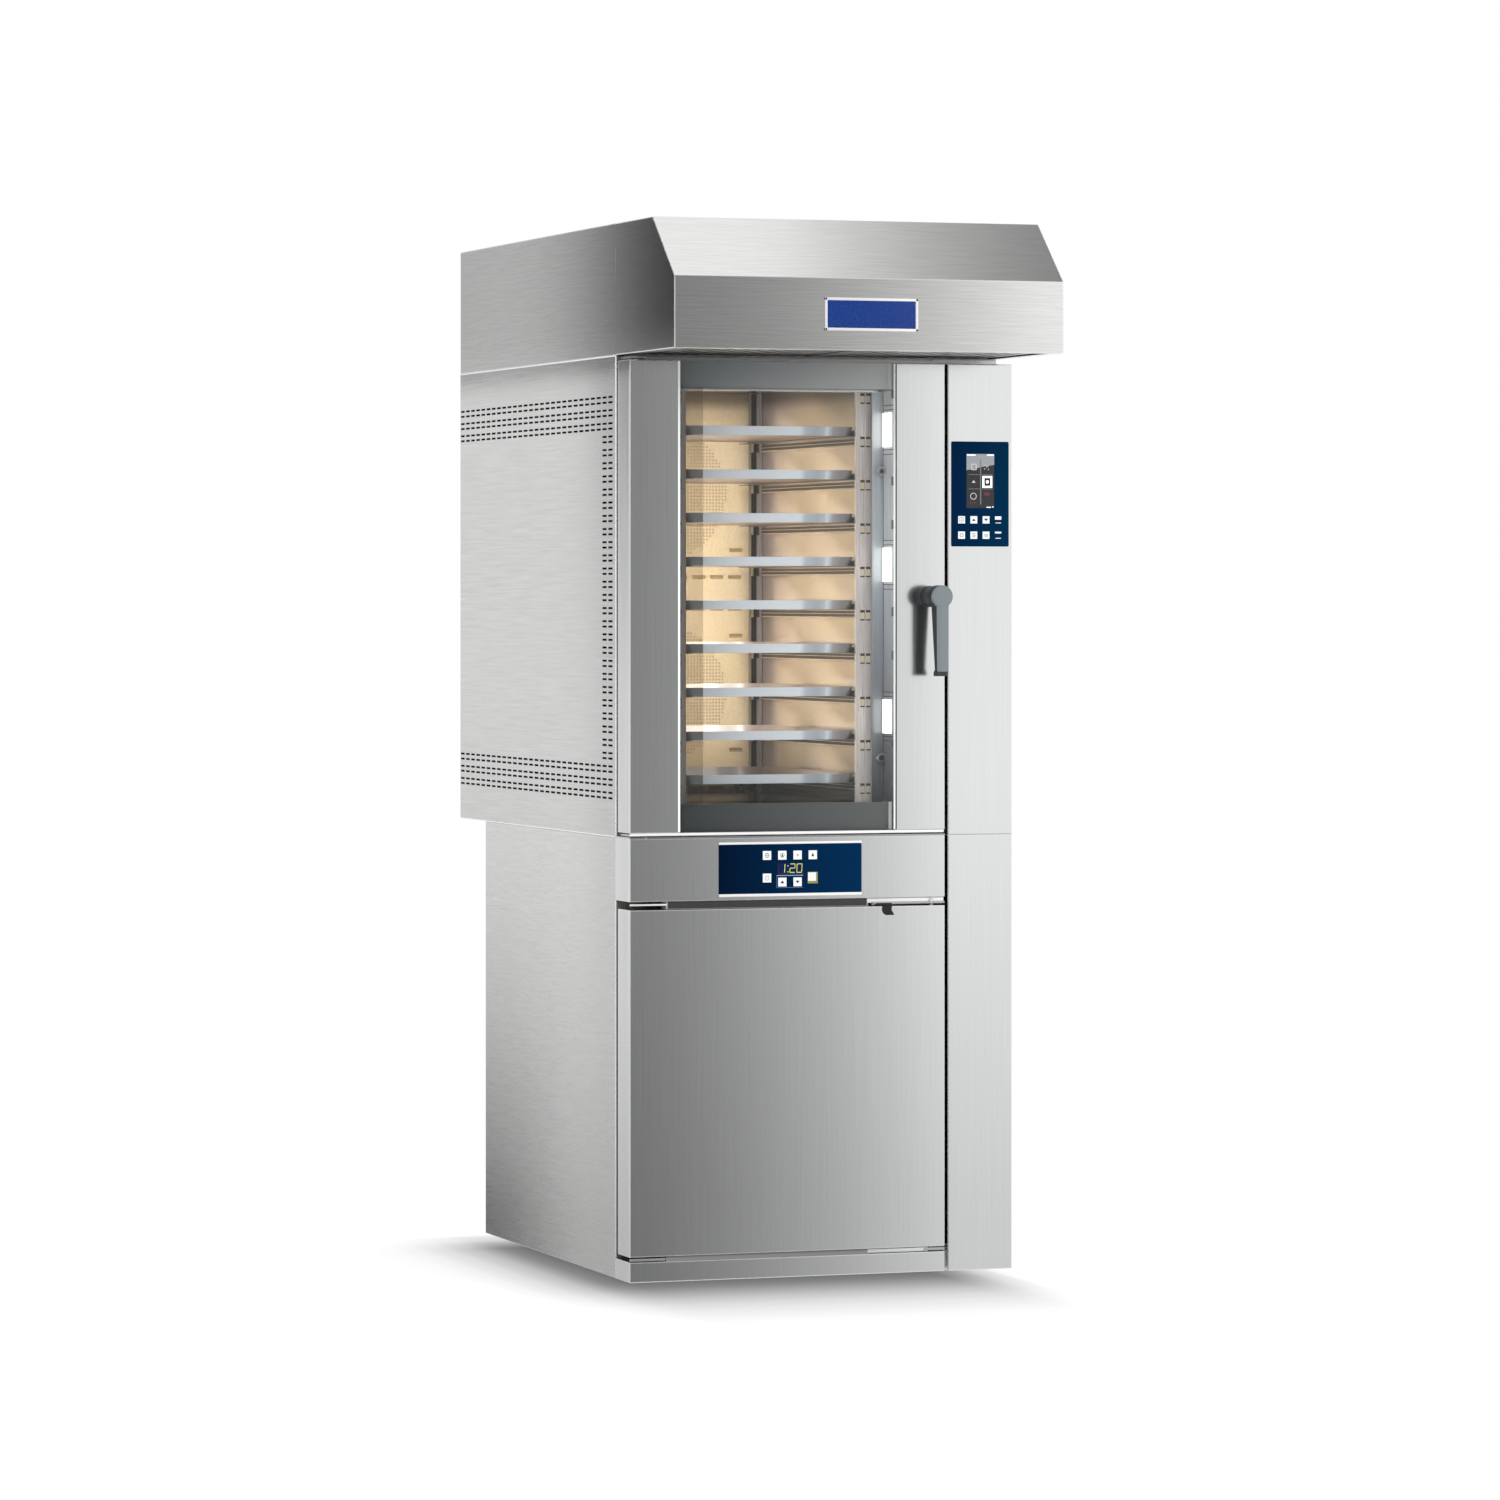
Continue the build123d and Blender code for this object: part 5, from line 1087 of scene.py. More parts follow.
# %% Prints on the panels
upper_low = part_box("control_panel_upper")[0]
lower_low, lower_high = part_box("control_panel_lower")
prints = bmesh.new()
print_y = upper_low.y - 0.1
sign_x = place_of("upper_key_down")[0] + 29
for row, key in enumerate(("upper_key_down", "upper_key_steam")):
    sign_z = place_of(key)[1]
    bar(prints, sign_x - 7.5, sign_x + 7.5, sign_z + (0.5 if row == 0 else 4.0), sign_z + 8, print_y)
    bar(prints, sign_x - 6.5, sign_x + 6.5, sign_z - 7.4, sign_z - 5.8, print_y)
finish_piece("upper_panel_print", prints, ink_white, "cabinet")

bracket = bmesh.new()
print_y = lower_low.y - 0.1
left_x = place_of("lower_key_up")[0] - 13
right_x = place_of("lower_key_down")[0] + 13
arrow_z = place_of("lower_key_up")[1]
bar(bracket, left_x, right_x, arrow_z + 13.4, arrow_z + 15, print_y)
bar(bracket, left_x, left_x + 0.4, arrow_z - 12, arrow_z + 13.4, print_y)
bar(bracket, left_x, right_x, arrow_z - 12.5, arrow_z - 12, print_y)
finish_piece("arrow_bracket_print", bracket, ink_blue, "cabinet")

strip_alloy = brushed_steel(
    "bright_anodised_strip", "#FAFAFA", "#F0F0F0", (0.3, 0.4), line=0.8, run=60, metal=0.2
)
strips = bmesh.new()
for low, high in ((lower_high.z + 0.2, lower_high.z + 5.4), (lower_low.z - 1.8, lower_low.z + 4.6)):
    add_block(strips, (lower_low.x - 0.5, FRONT - 3.3, low), (lower_high.x + 0.5, FRONT, high), 0.8)
finish_piece("panel_strips", strips, strip_alloy, "cabinet")
print("prints and strips made")

# %% [markdown]
# ## Pictures on the displays
# The upper display shows six tiles under a grey header, as a real unit does after start-up; its centre tile
# is left plain. The clock is a row of seven-segment digits. Each segment is a bar, and a table says which
# of the seven are lit. A dark core runs through each lit segment, as it does on the real clock.

# %% Picture on the upper display
SCREEN_LEFT, SCREEN_RIGHT = LEFT + 781, LEFT + 847
SCREEN_LOW, SCREEN_TOP = upper_low.z + 84.7, upper_low.z + 204.7
screen_y = upper_low.y + 0.3


def on_screen(across, down):
    """A place on the screen from its shares across and down."""
    return SCREEN_LEFT + (SCREEN_RIGHT - SCREEN_LEFT) * across, SCREEN_TOP - (SCREEN_TOP - SCREEN_LOW) * down


def screen_bar(bm, a0, a1, d0, d1, y):
    """A rectangle on the screen between two shares across and two down."""
    (x0, z1), (x1, z0) = on_screen(a0, d0), on_screen(a1, d1)
    bar(bm, x0, x1, z0, z1, y)


def screen_layer(name, colour, strength, shapes, depth):
    """One layer of the picture with its own glow. Nearer layers have a larger depth."""
    bm = bmesh.new()
    shapes(bm, screen_y - 0.05 * depth)
    finish = glowing(name + "_glow", colour, strength)
    return finish_piece(name, bm, finish, "cabinet")


def header(bm, y):
    corners = ((0, 0.30), (0.36, 0.27), (0.53, 0.24), (1, 0.2), (1, 0.0), (0, 0.0))
    flat(bm, [on_screen(*corner) for corner in corners], y)


def grid_lines(bm, y):
    screen_bar(bm, 0.49, 0.53, 0.1, 0.93, y)
    screen_bar(bm, 0.08, 0.94, 0.375, 0.385, y)
    screen_bar(bm, 0.08, 0.94, 0.64, 0.65, y)


def status_marks(bm, y):
    screen_bar(bm, 0.02, 0.33, 0.012, 0.03, y)
    screen_bar(bm, 0.74, 0.98, 0.01, 0.032, y)
    screen_bar(bm, 0.72, 0.88, 0.975, 0.99, y)
    screen_bar(bm, 0.93, 0.97, 0.965, 0.985, y)


def faint_icons(bm, y):
    x, z = on_screen(0.27, 0.24)
    outline(bm, x - 6, x + 6, z - 7, z + 7, 1.6, y)
    x, z = on_screen(0.26, 0.51)
    triangle(bm, x, z, 4.5, y)
    x, z = on_screen(0.25, 0.78)
    ring(bm, x, z, 7.6, 6.2, y)
    x, z = on_screen(0.73, 0.24)
    for dx, dz in ((-3, 4), (3, 2), (-5, -4), (4, -5), (0, 0)):
        bar(bm, x + dx - 1.1, x + dx + 1.1, z + dz - 1.1, z + dz + 1.1, y)


def white_tile(bm, y):
    x, z = on_screen(0.75, 0.515)
    outline(bm, x - 11.5, x + 11.5, z - 13, z + 13, 4.2, y)
    bar(bm, x - 3, x + 3, z - 3, z + 3, y)


def red_marks(bm, y):
    for across, size in ((0.66, 2.2), (0.73, 4.4), (0.80, 2.2)):
        x, z = on_screen(across, 0.74)
        bar(bm, x - 0.9, x + 0.9, z - size, z + size, y)
    for across in (0.14, 0.22, 0.30):
        x, z = on_screen(across, 0.9)
        bar(bm, x - 1, x + 1, z - 1, z + 1, y)


screen_layer("display_header", "#8A8D92", 0.3, header, 1)
screen_layer("display_grid", "#6A6A6C", 0.25, grid_lines, 2)
screen_layer("display_icons", "#B4B2B4", 0.5, faint_icons, 3)
screen_layer("display_status", "#E6F0FA", 0.8, status_marks, 3)
screen_layer("display_tile", "#FFFFFF", 0.9, white_tile, 3)
screen_layer("display_red_marks", "#8E2B33", 0.5, red_marks, 3)
print("display picture in six layers")

# %% Clock digits
SEGMENTS = {
    "0": "abcdef",
    "2": "abged",
    "1": "bc",
}
DIGIT_LOW = lower_low.z + 49.8
DIGIT_HEIGHT = 18.6
DIGIT_WIDTH = 11.4
clock_y = lower_low.y + 0.3


def digit(bm, text, x, thick, y):
    """One seven-segment digit, leaning a little, from bars between its six corners."""
    z0, z1, z2 = DIGIT_LOW, DIGIT_LOW + DIGIT_HEIGHT / 2, DIGIT_LOW + DIGIT_HEIGHT
    ends = {
        "a": ((0, z2), (1, z2)),
        "b": ((1, z1), (1, z2)),
        "c": ((1, z0), (1, z1)),
        "d": ((0, z0), (1, z0)),
        "e": ((0, z0), (0, z1)),
        "f": ((0, z1), (0, z2)),
        "g": ((0, z1), (1, z1)),
    }
    for name in SEGMENTS[text]:
        (a0, b0), (a1, b1) = ends[name]
        lean0 = (b0 - DIGIT_LOW) * 0.06
        lean1 = (b1 - DIGIT_LOW) * 0.06
        x0, x1 = x + a0 * DIGIT_WIDTH + lean0, x + a1 * DIGIT_WIDTH + lean1
        if b0 == b1:
            bar(bm, x0 + 0.2, x1 - 0.2, b0 - thick, b0 + thick, y)
        else:
            low, high = b0 + 0.2, b1 - 0.2
            points = [(x0 - thick, low), (x0 + thick, low), (x1 + thick, high), (x1 - thick, high)]
            flat(bm, points, y)


clock_back = bmesh.new()
bar(clock_back, LEFT + 340, LEFT + 399.5, DIGIT_LOW - 2.5, DIGIT_LOW + 22.8, clock_y)
finish_piece("clock_window", clock_back, ink("violet_clock_window", "#101E4C"), "cabinet")
lit = bmesh.new()
core = bmesh.new()
for text, place in (("1", 343.2), ("2", 366.7), ("0", 382.8)):
    digit(lit, text, LEFT + place, 0.75, clock_y - 0.1)
    digit(core, text, LEFT + place, 0.2, clock_y - 0.15)
for up in (1.4, 14.4):
    bar(lit, LEFT + 361.6, LEFT + 363.4, DIGIT_LOW + up - 1, DIGIT_LOW + up + 1, clock_y - 0.1)
finish_piece("clock_digits", lit, glowing("yellow_green_digit", "#C6CF62", 0.8), "cabinet")
finish_piece("clock_digit_cores", core, ink("dark_digit_core", "#4A5326"), "cabinet")
print("clock digits made")

# %% [markdown]
# ## Details of the glass door
# The left edge of the outer pane carries a grey printed band that hides its bonding to the stile. The stile
# on the right is the door's service side: seams of the lamp covers, small spring catches for the lining, and
# a cross recess in each clamp knob. A satin trim frames the inner pane beside it. All of these ride on the
# door.

# %% Details of the glass door
glass_low, glass_high = part_box("oven_door_glass")
band_finish = float_glass("grey_printed_band", "#D6D3D0")
band = bmesh.new()
bar(band, glass_low.x + 0.2, glass_low.x + 55, door_low.z + 62, door_high.z - 59, glass_high.y + 0.3)
finish_piece("glass_band", band, band_finish, "oven_door")

# The white strips at the pane's two edges are painted highlights, the thin lines of light along them.
edge_highlight_finish = moulded("painted_glass_edge_highlight", "#F4F8F6", "#E6ECEA", (0.4, 0.6), 2.0)
seal_black = ink("black_pane_seal", "#050505")
for name, x0, x1, face, finish, slot in (
    ("glass_edge", glass_high.x - 4.4, glass_high.x, glass_low.y, edge_highlight_finish, "outer_glass"),
    ("glass_edge_left", glass_low.x - 4.6, glass_low.x + 0.4, FRONT, edge_highlight_finish, "outer_glass"),
    ("pane_seal", glass_high.x + 0.2, glass_high.x + 2.4, FRONT, seal_black, "seal_rubber"),
):
    low, high = (x0, face - 0.3, glass_low.z + 1), (x1, face, glass_high.z - 1)
    block_piece(name, low, high, finish, "oven_door")

# Covers behind the pane hide the door's two rails. Their tone is a painted sweep of reflected light, dark on
# the left and pale on the right, and the lower cover is darker than the top one. A pale strip at the right
# end of each is a painted highlight.
RAIL_DEPTH = FRONT + 13
rail_bands = (
    ("low", door_low.z + 1, door_low.z + 61.5, "#3A3D3E", "#626363"),
    ("top", door_high.z - 58, door_high.z - 1, "#6A6D6F", "#BEBEBE"),
)
for name, low, high, left_tone, right_tone in rail_bands:
    tone = film_with_painted_sweep(f"smoked_{name}_rail_painted_sweep", left_tone, right_tone, glass_low.x, glass_high.x)
    near, far = (glass_low.x + 0.2, RAIL_DEPTH, low), (glass_high.x - 0.4, RAIL_DEPTH + 0.8, high)
    block_piece(f"{name}_rail_cover", near, far, tone, "oven_door", 0.2)
    end_highlight_tone = film_with_painted_sweep(f"pale_{name}_rail_end", right_tone, "#E0E0E0", glass_high.x - 30, glass_high.x)
    near, far = (glass_high.x - 12, RAIL_DEPTH - 0.5, low), (glass_high.x - 4.5, RAIL_DEPTH, high)
    block_piece(f"{name}_rail_end", near, far, end_highlight_tone, "oven_door", 0.2)
# A pale strip under the door is a painted highlight along its bottom edge.
block_piece(
    "drip_edge",
    (door_low.x + 2, FRONT + 1, door_low.z - 6.4),
    (door_high.x - 2, FRONT + 9, door_low.z - 0.2),
    strip_alloy,
    "oven_door",
    0.4,
)

STILE_WALL = glass_high.x
LAMP_HEIGHTS = [door_low.z + up for up in (249, 584, 882)]


def shaded_sheet(name, stops):
    """Satin sheet whose tone follows the height, as far as the lamps reach it."""
    material, tree, coords = new_finish(name)
    lines = stretched_noise(tree, coords, (3, 3, 240))
    tone = colour_run(tree, add(tree, "ShaderNodeSeparateXYZ", {0: coords}).outputs["Z"], stops)
    streak = blend_colours(tree, span(tree, lines, 0.3, 0.7, 0, 1), "#E2E2E2", "#FFFFFF")
    both = add(tree, "ShaderNodeMix", {0: 1.0, 6: tone, 7: streak}, data_type="RGBA", blend_type="MULTIPLY")
    close(tree, {"Base Color": both.outputs[2], "Metallic": 0.15, "Roughness": 0.35})
    return material


lining_steel = shaded_sheet(
    "satin_stile_lining",
    [
        (1035, "#66676B"),
        (1157, "#888A8F"),
        (1270, "#A4A7AE"),
        (1473, "#CFD3DA"),
        (1670, "#EBEEF4"),
        (1944, "#F2F4F8"),
    ],
)
trim_steel = shaded_sheet(
    "satin_pane_trim",
    [
        (1035, "#66676B"),
        (1157, "#94969C"),
        (1270, "#AAACB3"),
        (1473, "#CDD1D8"),
        (1670, "#EAEEF5"),
        (1944, "#F0F3F8"),
    ],
)
block_piece(
    "inner_pane_trim",
    (glass_high.x - 25, FRONT + 82.2, door_low.z + 62),
    (glass_high.x + 1, FRONT + 83.4, door_high.z - 60),
    trim_steel,
    "oven_door",
)
lamp_low, lamp_high = part_box("oven_door_lamps")
lining = bmesh.new()
lining_ends = [door_low.z + 62]
for z in LAMP_HEIGHTS:
    lining_ends += [z - 38, z + 38]
lining_ends.append(door_high.z - 60)
for low, high in zip(lining_ends[::2], lining_ends[1::2]):
    add_block(lining, (STILE_WALL - 0.3, FRONT + 7.2, low), (STILE_WALL, FRONT + 75.5, high))
for z in LAMP_HEIGHTS:
    for near, far in ((FRONT + 7.2, lamp_low.y - 0.4), (lamp_high.y + 0.4, FRONT + 75.5)):
        add_block(lining, (STILE_WALL - 0.3, near, z - 38), (STILE_WALL, far, z + 38))
finish_piece("stile_lining", lining, lining_steel, "oven_door")
print("lamps from", round(lamp_low.x, 1), "to", round(lamp_high.x, 1), "wall", round(STILE_WALL, 1))
seams = bmesh.new()
for z in LAMP_HEIGHTS:
    for up in (-54, -44, 44, 54):
        add_block(seams, (STILE_WALL - 0.6, FRONT + 12, z + up - 0.7), (STILE_WALL, FRONT + 75, z + up + 0.7))
finish_piece("lamp_cover_seams", seams, finishes["seal_rubber"], "oven_door")
catches = bmesh.new()
FIRST_CATCH = 1071.5
for level in range(10):
    z = FIRST_CATCH + TRAY_PITCH * level
    if all(abs(z - lamp) > 46 for lamp in LAMP_HEIGHTS):
        add_block(catches, (STILE_WALL - 1.5, FRONT + 10, z - 10), (STILE_WALL, FRONT + 24, z + 10), 0.6)
finish_piece("lining_catches", catches, finishes["motor_paint"], "oven_door")
# Each knob's cross recess is drawn as a flat black cross of painted shade.
recess_shade_crosses = bmesh.new()
for up in (157, 791):
    x, z = STILE_WALL - 10, door_low.z + up
    face = FRONT + 59.4
    for turn in range(0, 180, 45):
        c, d = math.cos(math.radians(turn)), math.sin(math.radians(turn))
        arm = ((-8, -1), (8, -1), (8, 1), (-8, 1))
        flat(recess_shade_crosses, [(x + a * c - b * d, z + a * d + b * c) for a, b in arm], face)
finish_piece("knob_recesses", recess_shade_crosses, finishes["seal_rubber"], "oven_door")
print("door details made")

# %% [markdown]
# ## Front posts of the tray rack
# The rack hangs on two folded posts at the mouth of the chamber. Each has a flat face with a pair of small
# windows at every tray level. Behind each window a cream plate stands for the warm wall, with bands of
# painted shade at its top and bottom, and a pale strip along the folded edge towards the trays is a painted
# highlight.
# Along the walls run the angles that carry the tray guides, with pale strips of painted highlight on their
# edges.

# %% Front posts of the tray rack
POST_FACE = 37
POST_NEAR = FRONT + 100
WINDOW_HALF = 5.3
WINDOW_HIGH = 23.2
FIRST_WINDOW = 1051.7
post_steel = brushed_steel(
    "satin_rack_post", "#F8EAE6", "#ECDCD8", (0.25, 0.35), "upright", 2.0, 90, metal=0.35
)
# A pale strip along each post's inner fold, and on the edges of the guide angles, is a painted highlight.
painted_post_glint = moulded("painted_post_fold_highlight", "#F6ECDF", "#EADFD2", (0.3, 0.4), 3.0)
liner_walls = (LEFT + 124, LEFT + 596)
posts = bmesh.new()
glints = bmesh.new()
window_backs = bmesh.new()
window_shades = bmesh.new()
for side, wall in ((1, liner_walls[0]), (-1, liner_walls[1])):
    outer, inner = wall + side * 0.3, wall + side * POST_FACE
    x_range = (min(outer, inner), max(outer, inner))
    windows = []
    for level in range(10):
        z = FIRST_WINDOW + TRAY_PITCH * level
        for near in (15.1, 28.7):
            middle = inner - side * near
            windows.append((middle - WINDOW_HALF, middle + WINDOW_HALF, z, z + WINDOW_HIGH))
    windows = [hole for hole in windows if liner_low.z + 8 < hole[2] and hole[3] < liner_high.z - 22]
    for x0, x1, z0, z1 in windows:
        bar(window_backs, x0, x1, z0, z1, POST_NEAR + 1.4)
        bar(window_shades, x0, x1, z1 - 5.5, z1, POST_NEAR + 1.1)
        bar(window_shades, x0, x1, z0, z0 + 3, POST_NEAR + 1.1)
    foot, head = liner_low.z + 4, liner_high.z - 22
    pierced_sheet(posts, x_range, (foot, head), POST_NEAR, windows)
    add_block(glints, (inner - 0.8, POST_NEAR - 0.8, foot), (inner + 0.8, POST_NEAR + 8, head))
finish_piece("rack_post_faces", posts, post_steel, "cabinet")
finish_piece("rack_post_folds", glints, painted_post_glint, "cabinet")
window_cream = moulded("lit_cream_wall", "#F6E2C8", "#EBD5B8", (0.4, 0.5), 3.0)
finish_piece("rack_window_backs", window_backs, window_cream, "cabinet")
# Dark bands at the top and bottom of each window are painted shade.
window_painted_shade = ink("brown_painted_window_shade", "#3E2F27")
finish_piece("rack_window_shades", window_shades, window_painted_shade, "cabinet")
guide_steel = moulded("oxidised_guide_steel", "#5A4F47", "#4A413B", (0.4, 0.5), 3.0)
fins = bmesh.new()
fin_glints = bmesh.new()
FIN_NEAR, FIN_FAR = FRONT + 118, FRONT + 831
for level in range(9):
    base = tray_low.z + TRAY_PITCH * level
    for x in (liner_walls[0] + 2, liner_walls[1] - 3.5):
        add_block(fins, (x, FIN_NEAR, base - 17), (x + 1.2, FIN_FAR, base - 4))
        add_block(fin_glints, (x - 0.4, FIN_NEAR, base - 18.6), (x + 1.2, FIN_FAR, base - 17))
        add_block(fin_glints, (x - 0.4, FIN_NEAR, base - 10.6), (x, FIN_FAR, base - 9.4))
finish_piece("guide_angles", fins, guide_steel, "cabinet")
finish_piece("guide_angle_edges", fin_glints, painted_post_glint, "cabinet")
print("post faces", POST_FACE, "mm wide with", len(windows), "windows each")

# %% [markdown]
# ## Hinge hardware
# Above the proofer door sit a polished hinge plate with two bolts, and a black hook on the door that engages
# the frame. The bolts are one head repeated at several points, so geometry nodes set them out: a cylinder is
# instanced on the corners of a small guide mesh. The same nodes place the screws of the rear covers.

# %% Screws as geometry nodes
screws, screw_inputs, given = node_group(
    "screw_heads",
    [
        ("Places", "NodeSocketObject", None),
        ("Radius", "NodeSocketFloat", 0.004),
        ("Height", "NodeSocketFloat", 0.002),
        ("Finish", "NodeSocketMaterial", None),
    ],
)
guide = add(screws, "GeometryNodeObjectInfo", {"Object": given["Places"]})
points = add(screws, "GeometryNodeMeshToPoints", {"Mesh": guide.outputs["Geometry"]})
head = add(
    screws,
    "GeometryNodeMeshCylinder",
    {"Vertices": 18, "Radius": given["Radius"], "Depth": given["Height"]},
)
laid = add(
    screws, "GeometryNodeTransform", {"Geometry": head.outputs["Mesh"], "Rotation": (math.radians(90), 0, 0)}
)
spread_out = add(
    screws, "GeometryNodeInstanceOnPoints", {"Points": points.outputs[0], "Instance": laid.outputs[0]}
)
solid = add(screws, "GeometryNodeRealizeInstances", {"Geometry": spread_out.outputs[0]})
painted = add(screws, "GeometryNodeSetMaterial", {"Geometry": solid.outputs[0], "Material": given["Finish"]})
add(screws, "NodeGroupOutput", {"Geometry": painted.outputs[0]})


def screw_row(name, places, radius, height, finish, body):
    """Round heads at the given places in millimetres, facing the front or the back."""
    guide_mesh = bpy.data.meshes.new(name + "_places")
    guide_mesh.from_pydata([mm(*place) for place in places], [], [])
    guide_object = bpy.data.objects.new(name + "_places", guide_mesh)
    bpy.context.scene.collection.objects.link(guide_object)
    values = {"Places": guide_object, "Radius": radius * MM, "Height": height * MM, "Finish": finish}
    mesh = grown(name, screws, screw_inputs, values)
    bpy.data.objects.remove(guide_object)
    bm = bmesh.new()
    bm.from_mesh(mesh)
    return finish_piece(name, bm, finish, body)


bright_zinc = brushed_steel("bright_zinc_screws", "#F2F2F2", "#E0E0E0", (0.15, 0.25), "level", 0.6, 10)
screw_row("hinge_bolts", [(LEFT + 699, FRONT + 1.2, 819.5)], 4.4, 1.8, bright_zinc, "cabinet")
screw_row("lip_screw", [(LEFT + 36, FRONT - 0.2, 964.5)], 2.4, 1.6, bright_zinc, "cabinet")
rivet_grey = finishes["motor_paint"]
screw_row("hinge_rivet", [(LEFT + 562, FRONT + 1.2, 812.5)], 3.0, 1.6, rivet_grey, "cabinet")
casing_back_low, casing_back_high = part_box("proofer_casing")
rear = []
for z in range(60, 960, 145):
    for x in (casing_back_low.x + 32, casing_back_high.x - 32):
        rear.append((x, casing_back_high.y + 0.9, z))
screw_row("proofer_back_screws", rear, 5, 1.8, bright_zinc, "cabinet")
print("screws set out:", len(rear) + 3)

# %% Hook on the proofer door
hook = bmesh.new()
proofer_low, proofer_top = [corner.z for corner in part_box("proofer_door_shell")]
hook_shape = [(584, 1), (606, 1), (605, -9), (609, -15), (611, -20), (592, -20), (586, -16), (583, -9)]
for depth in (FRONT - 1.4, FRONT - 0.2):
    flat(hook, [(LEFT + u, proofer_top + up) for u, up in hook_shape], depth)
rims = [list(face.verts) for face in hook.faces]
for i in range(len(hook_shape)):
    j = (i + 1) % len(hook_shape)
    hook.faces.new((rims[0][i], rims[0][j], rims[1][j], rims[1][i]))
tab_low, tab_high = proofer_top + 1.2, proofer_top + 6.5
add_block(hook, (LEFT + 570, FRONT - 0.6, tab_low), (LEFT + 606, FRONT + 0.6, tab_high), 0.4)
finish_piece("door_hook", hook, finishes["seal_rubber"], "proofer_door")
print("hook made")

# %% Plates in the two gaps of the proofer door
pale_plate = brushed_steel(
    "bright_hinge_plate", "#F2F2F2", "#E8E8E8", (0.3, 0.4), line=0.8, run=60, metal=0.3
)
# The grey plate is a darker copy of the pale plate's finish: painted shade in the lower gap.
hinge_plate_painted_shade = brushed_steel("grey_hinge_plate_painted_shade", "#B4B4B4", "#A8A8A8", (0.3, 0.4), line=0.8, run=60, metal=0.3)
dark_plate = moulded("dark_gap_seal", "#3A3A3B", "#343435", (0.6, 0.8), 3.0)
fascia_low = part_box("proofer_fascia")[0].z
plinth_top = part_box("plinth_base")[1].z
plates = (
    ("hinge_plate_upper", pale_plate, 549, 729, proofer_top + 7.2, fascia_low - 0.6),
    ("gap_plate_upper", pale_plate, 2, 86, proofer_top + 9, fascia_low - 5),
    ("gap_seal_upper", dark_plate, 88, 548, proofer_top + 2.5, fascia_low - 0.6),
    ("hinge_plate_lower", pale_plate, 550, 692, plinth_top + 1.2, proofer_low - 1.2),
    ("hinge_block_lower", hinge_plate_painted_shade, 694, 729, plinth_top + 2.0, proofer_low - 1.8),
    ("gap_plate_lower", hinge_plate_painted_shade, 2, 82, plinth_top + 1.6, proofer_low - 3.6),
)
for name, tone, u0, u1, low, high in plates:
    near, far = (LEFT + u0, FRONT + 3, low), (LEFT + u1, FRONT + 9, high)
    block_piece(name, near, far, tone, "cabinet", 0.4)
print("plates in the gaps:", len(plates))

# %% [markdown]
# ## Casing, fold highlights and slot shade
# Each side is one folded sheet with rows of punched slots in bands at the top and the bottom, and two columns
# of them behind its front fold. White strips along the front fold beside the door and along the two seams are
# painted highlights, for the thin lines of light these edges show. Behind the slots sits a black sheet of
# painted shade, so they read as black dashes.

# %% Casing, fold highlights and slot shade
side_low, side_high = part_box("oven_side_left")
# The side's grain is drawn coarser than the front's, four to five millimetres, so that it shows from here.
side_steel = brushed_steel(
    "brushed_stainless_side", "#D2D2D1", "#BDBDBC", (0.26, 0.33), line=4.5, run=210, fold=0.7, bump=0.0
)
SLOTS, SLOT_STEP, SLOT_LONG, SLOT_HIGH = 28, 42.3, 29.5, 4.6
TOP_ROW = side_high.z - 90
ROW_STEP = 11.8
PAIR_STEP = 28.9
PAIRS = int((TOP_ROW - ROW_STEP - liner_low.z) / PAIR_STEP) + 1
slots = []
for pair in range(PAIRS):
    in_band = pair < 3 or pair >= PAIRS - 3
    for row in range(2):
        z = TOP_ROW - pair * PAIR_STEP - row * ROW_STEP
        for column in range(SLOTS if in_band else 2):
            y = side_low.y + 19 + column * SLOT_STEP
            slots.append((y, y + SLOT_LONG, z - SLOT_HIGH / 2, z + SLOT_HIGH / 2))
for node, outer, inner in (
    ("oven_side_left", side_low.x, side_high.x),
    ("oven_side_right", -side_low.x, -side_high.x),
):
    panel = bmesh.new()
    y_range, z_range = (side_low.y, side_high.y), (side_low.z + 2.6, side_high.z - 2.6)
    pierced_sheet(panel, y_range, z_range, outer, slots, sideways=True)
    corners = [(y, z) for y in y_range for z in z_range]
    for first, second in ((0, 1), (2, 3), (0, 2), (1, 3)):
        (y0, z0), (y1, z1) = corners[first], corners[second]
        fold = ((outer, y0, z0), (outer, y1, z1), (inner, y1, z1), (inner, y0, z0))
        panel.faces.new([panel.verts.new(mm(*corner)) for corner in fold])
    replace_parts(finish_piece("slotted_" + node, panel, side_steel, "cabinet"), node)
# White strips along the front fold and the seams are painted highlights.
fold_highlight_white = moulded("painted_casing_fold_highlight", "#FAFAFA", "#F0F0F0", (0.3, 0.4), 3.0)
trims = bmesh.new()
for low, high in ((side_low.z + 1, side_high.z - 1), (46, side_low.z - 1)):
    add_block(trims, (LEFT, side_low.y - 1.6, low), (LEFT + 2.6, side_low.y - 0.1, high), 0.2)
for x in (side_low.x, -side_low.x - 1):
    for z in (side_low.z + 0.1, side_high.z - 2.5):
        add_block(trims, (x, side_low.y, z), (x + 1, side_high.y, z + 2.4))
HOOD_TOP = part_box("hood_canopy")[1].z
add_block(trims, (LEFT, side_low.y - 1.2, side_high.z + 1), (LEFT + 0.4, side_low.y + 1.0, HOOD_TOP - 1))
finish_piece("casing_fold_trims", trims, fold_highlight_white, "cabinet")
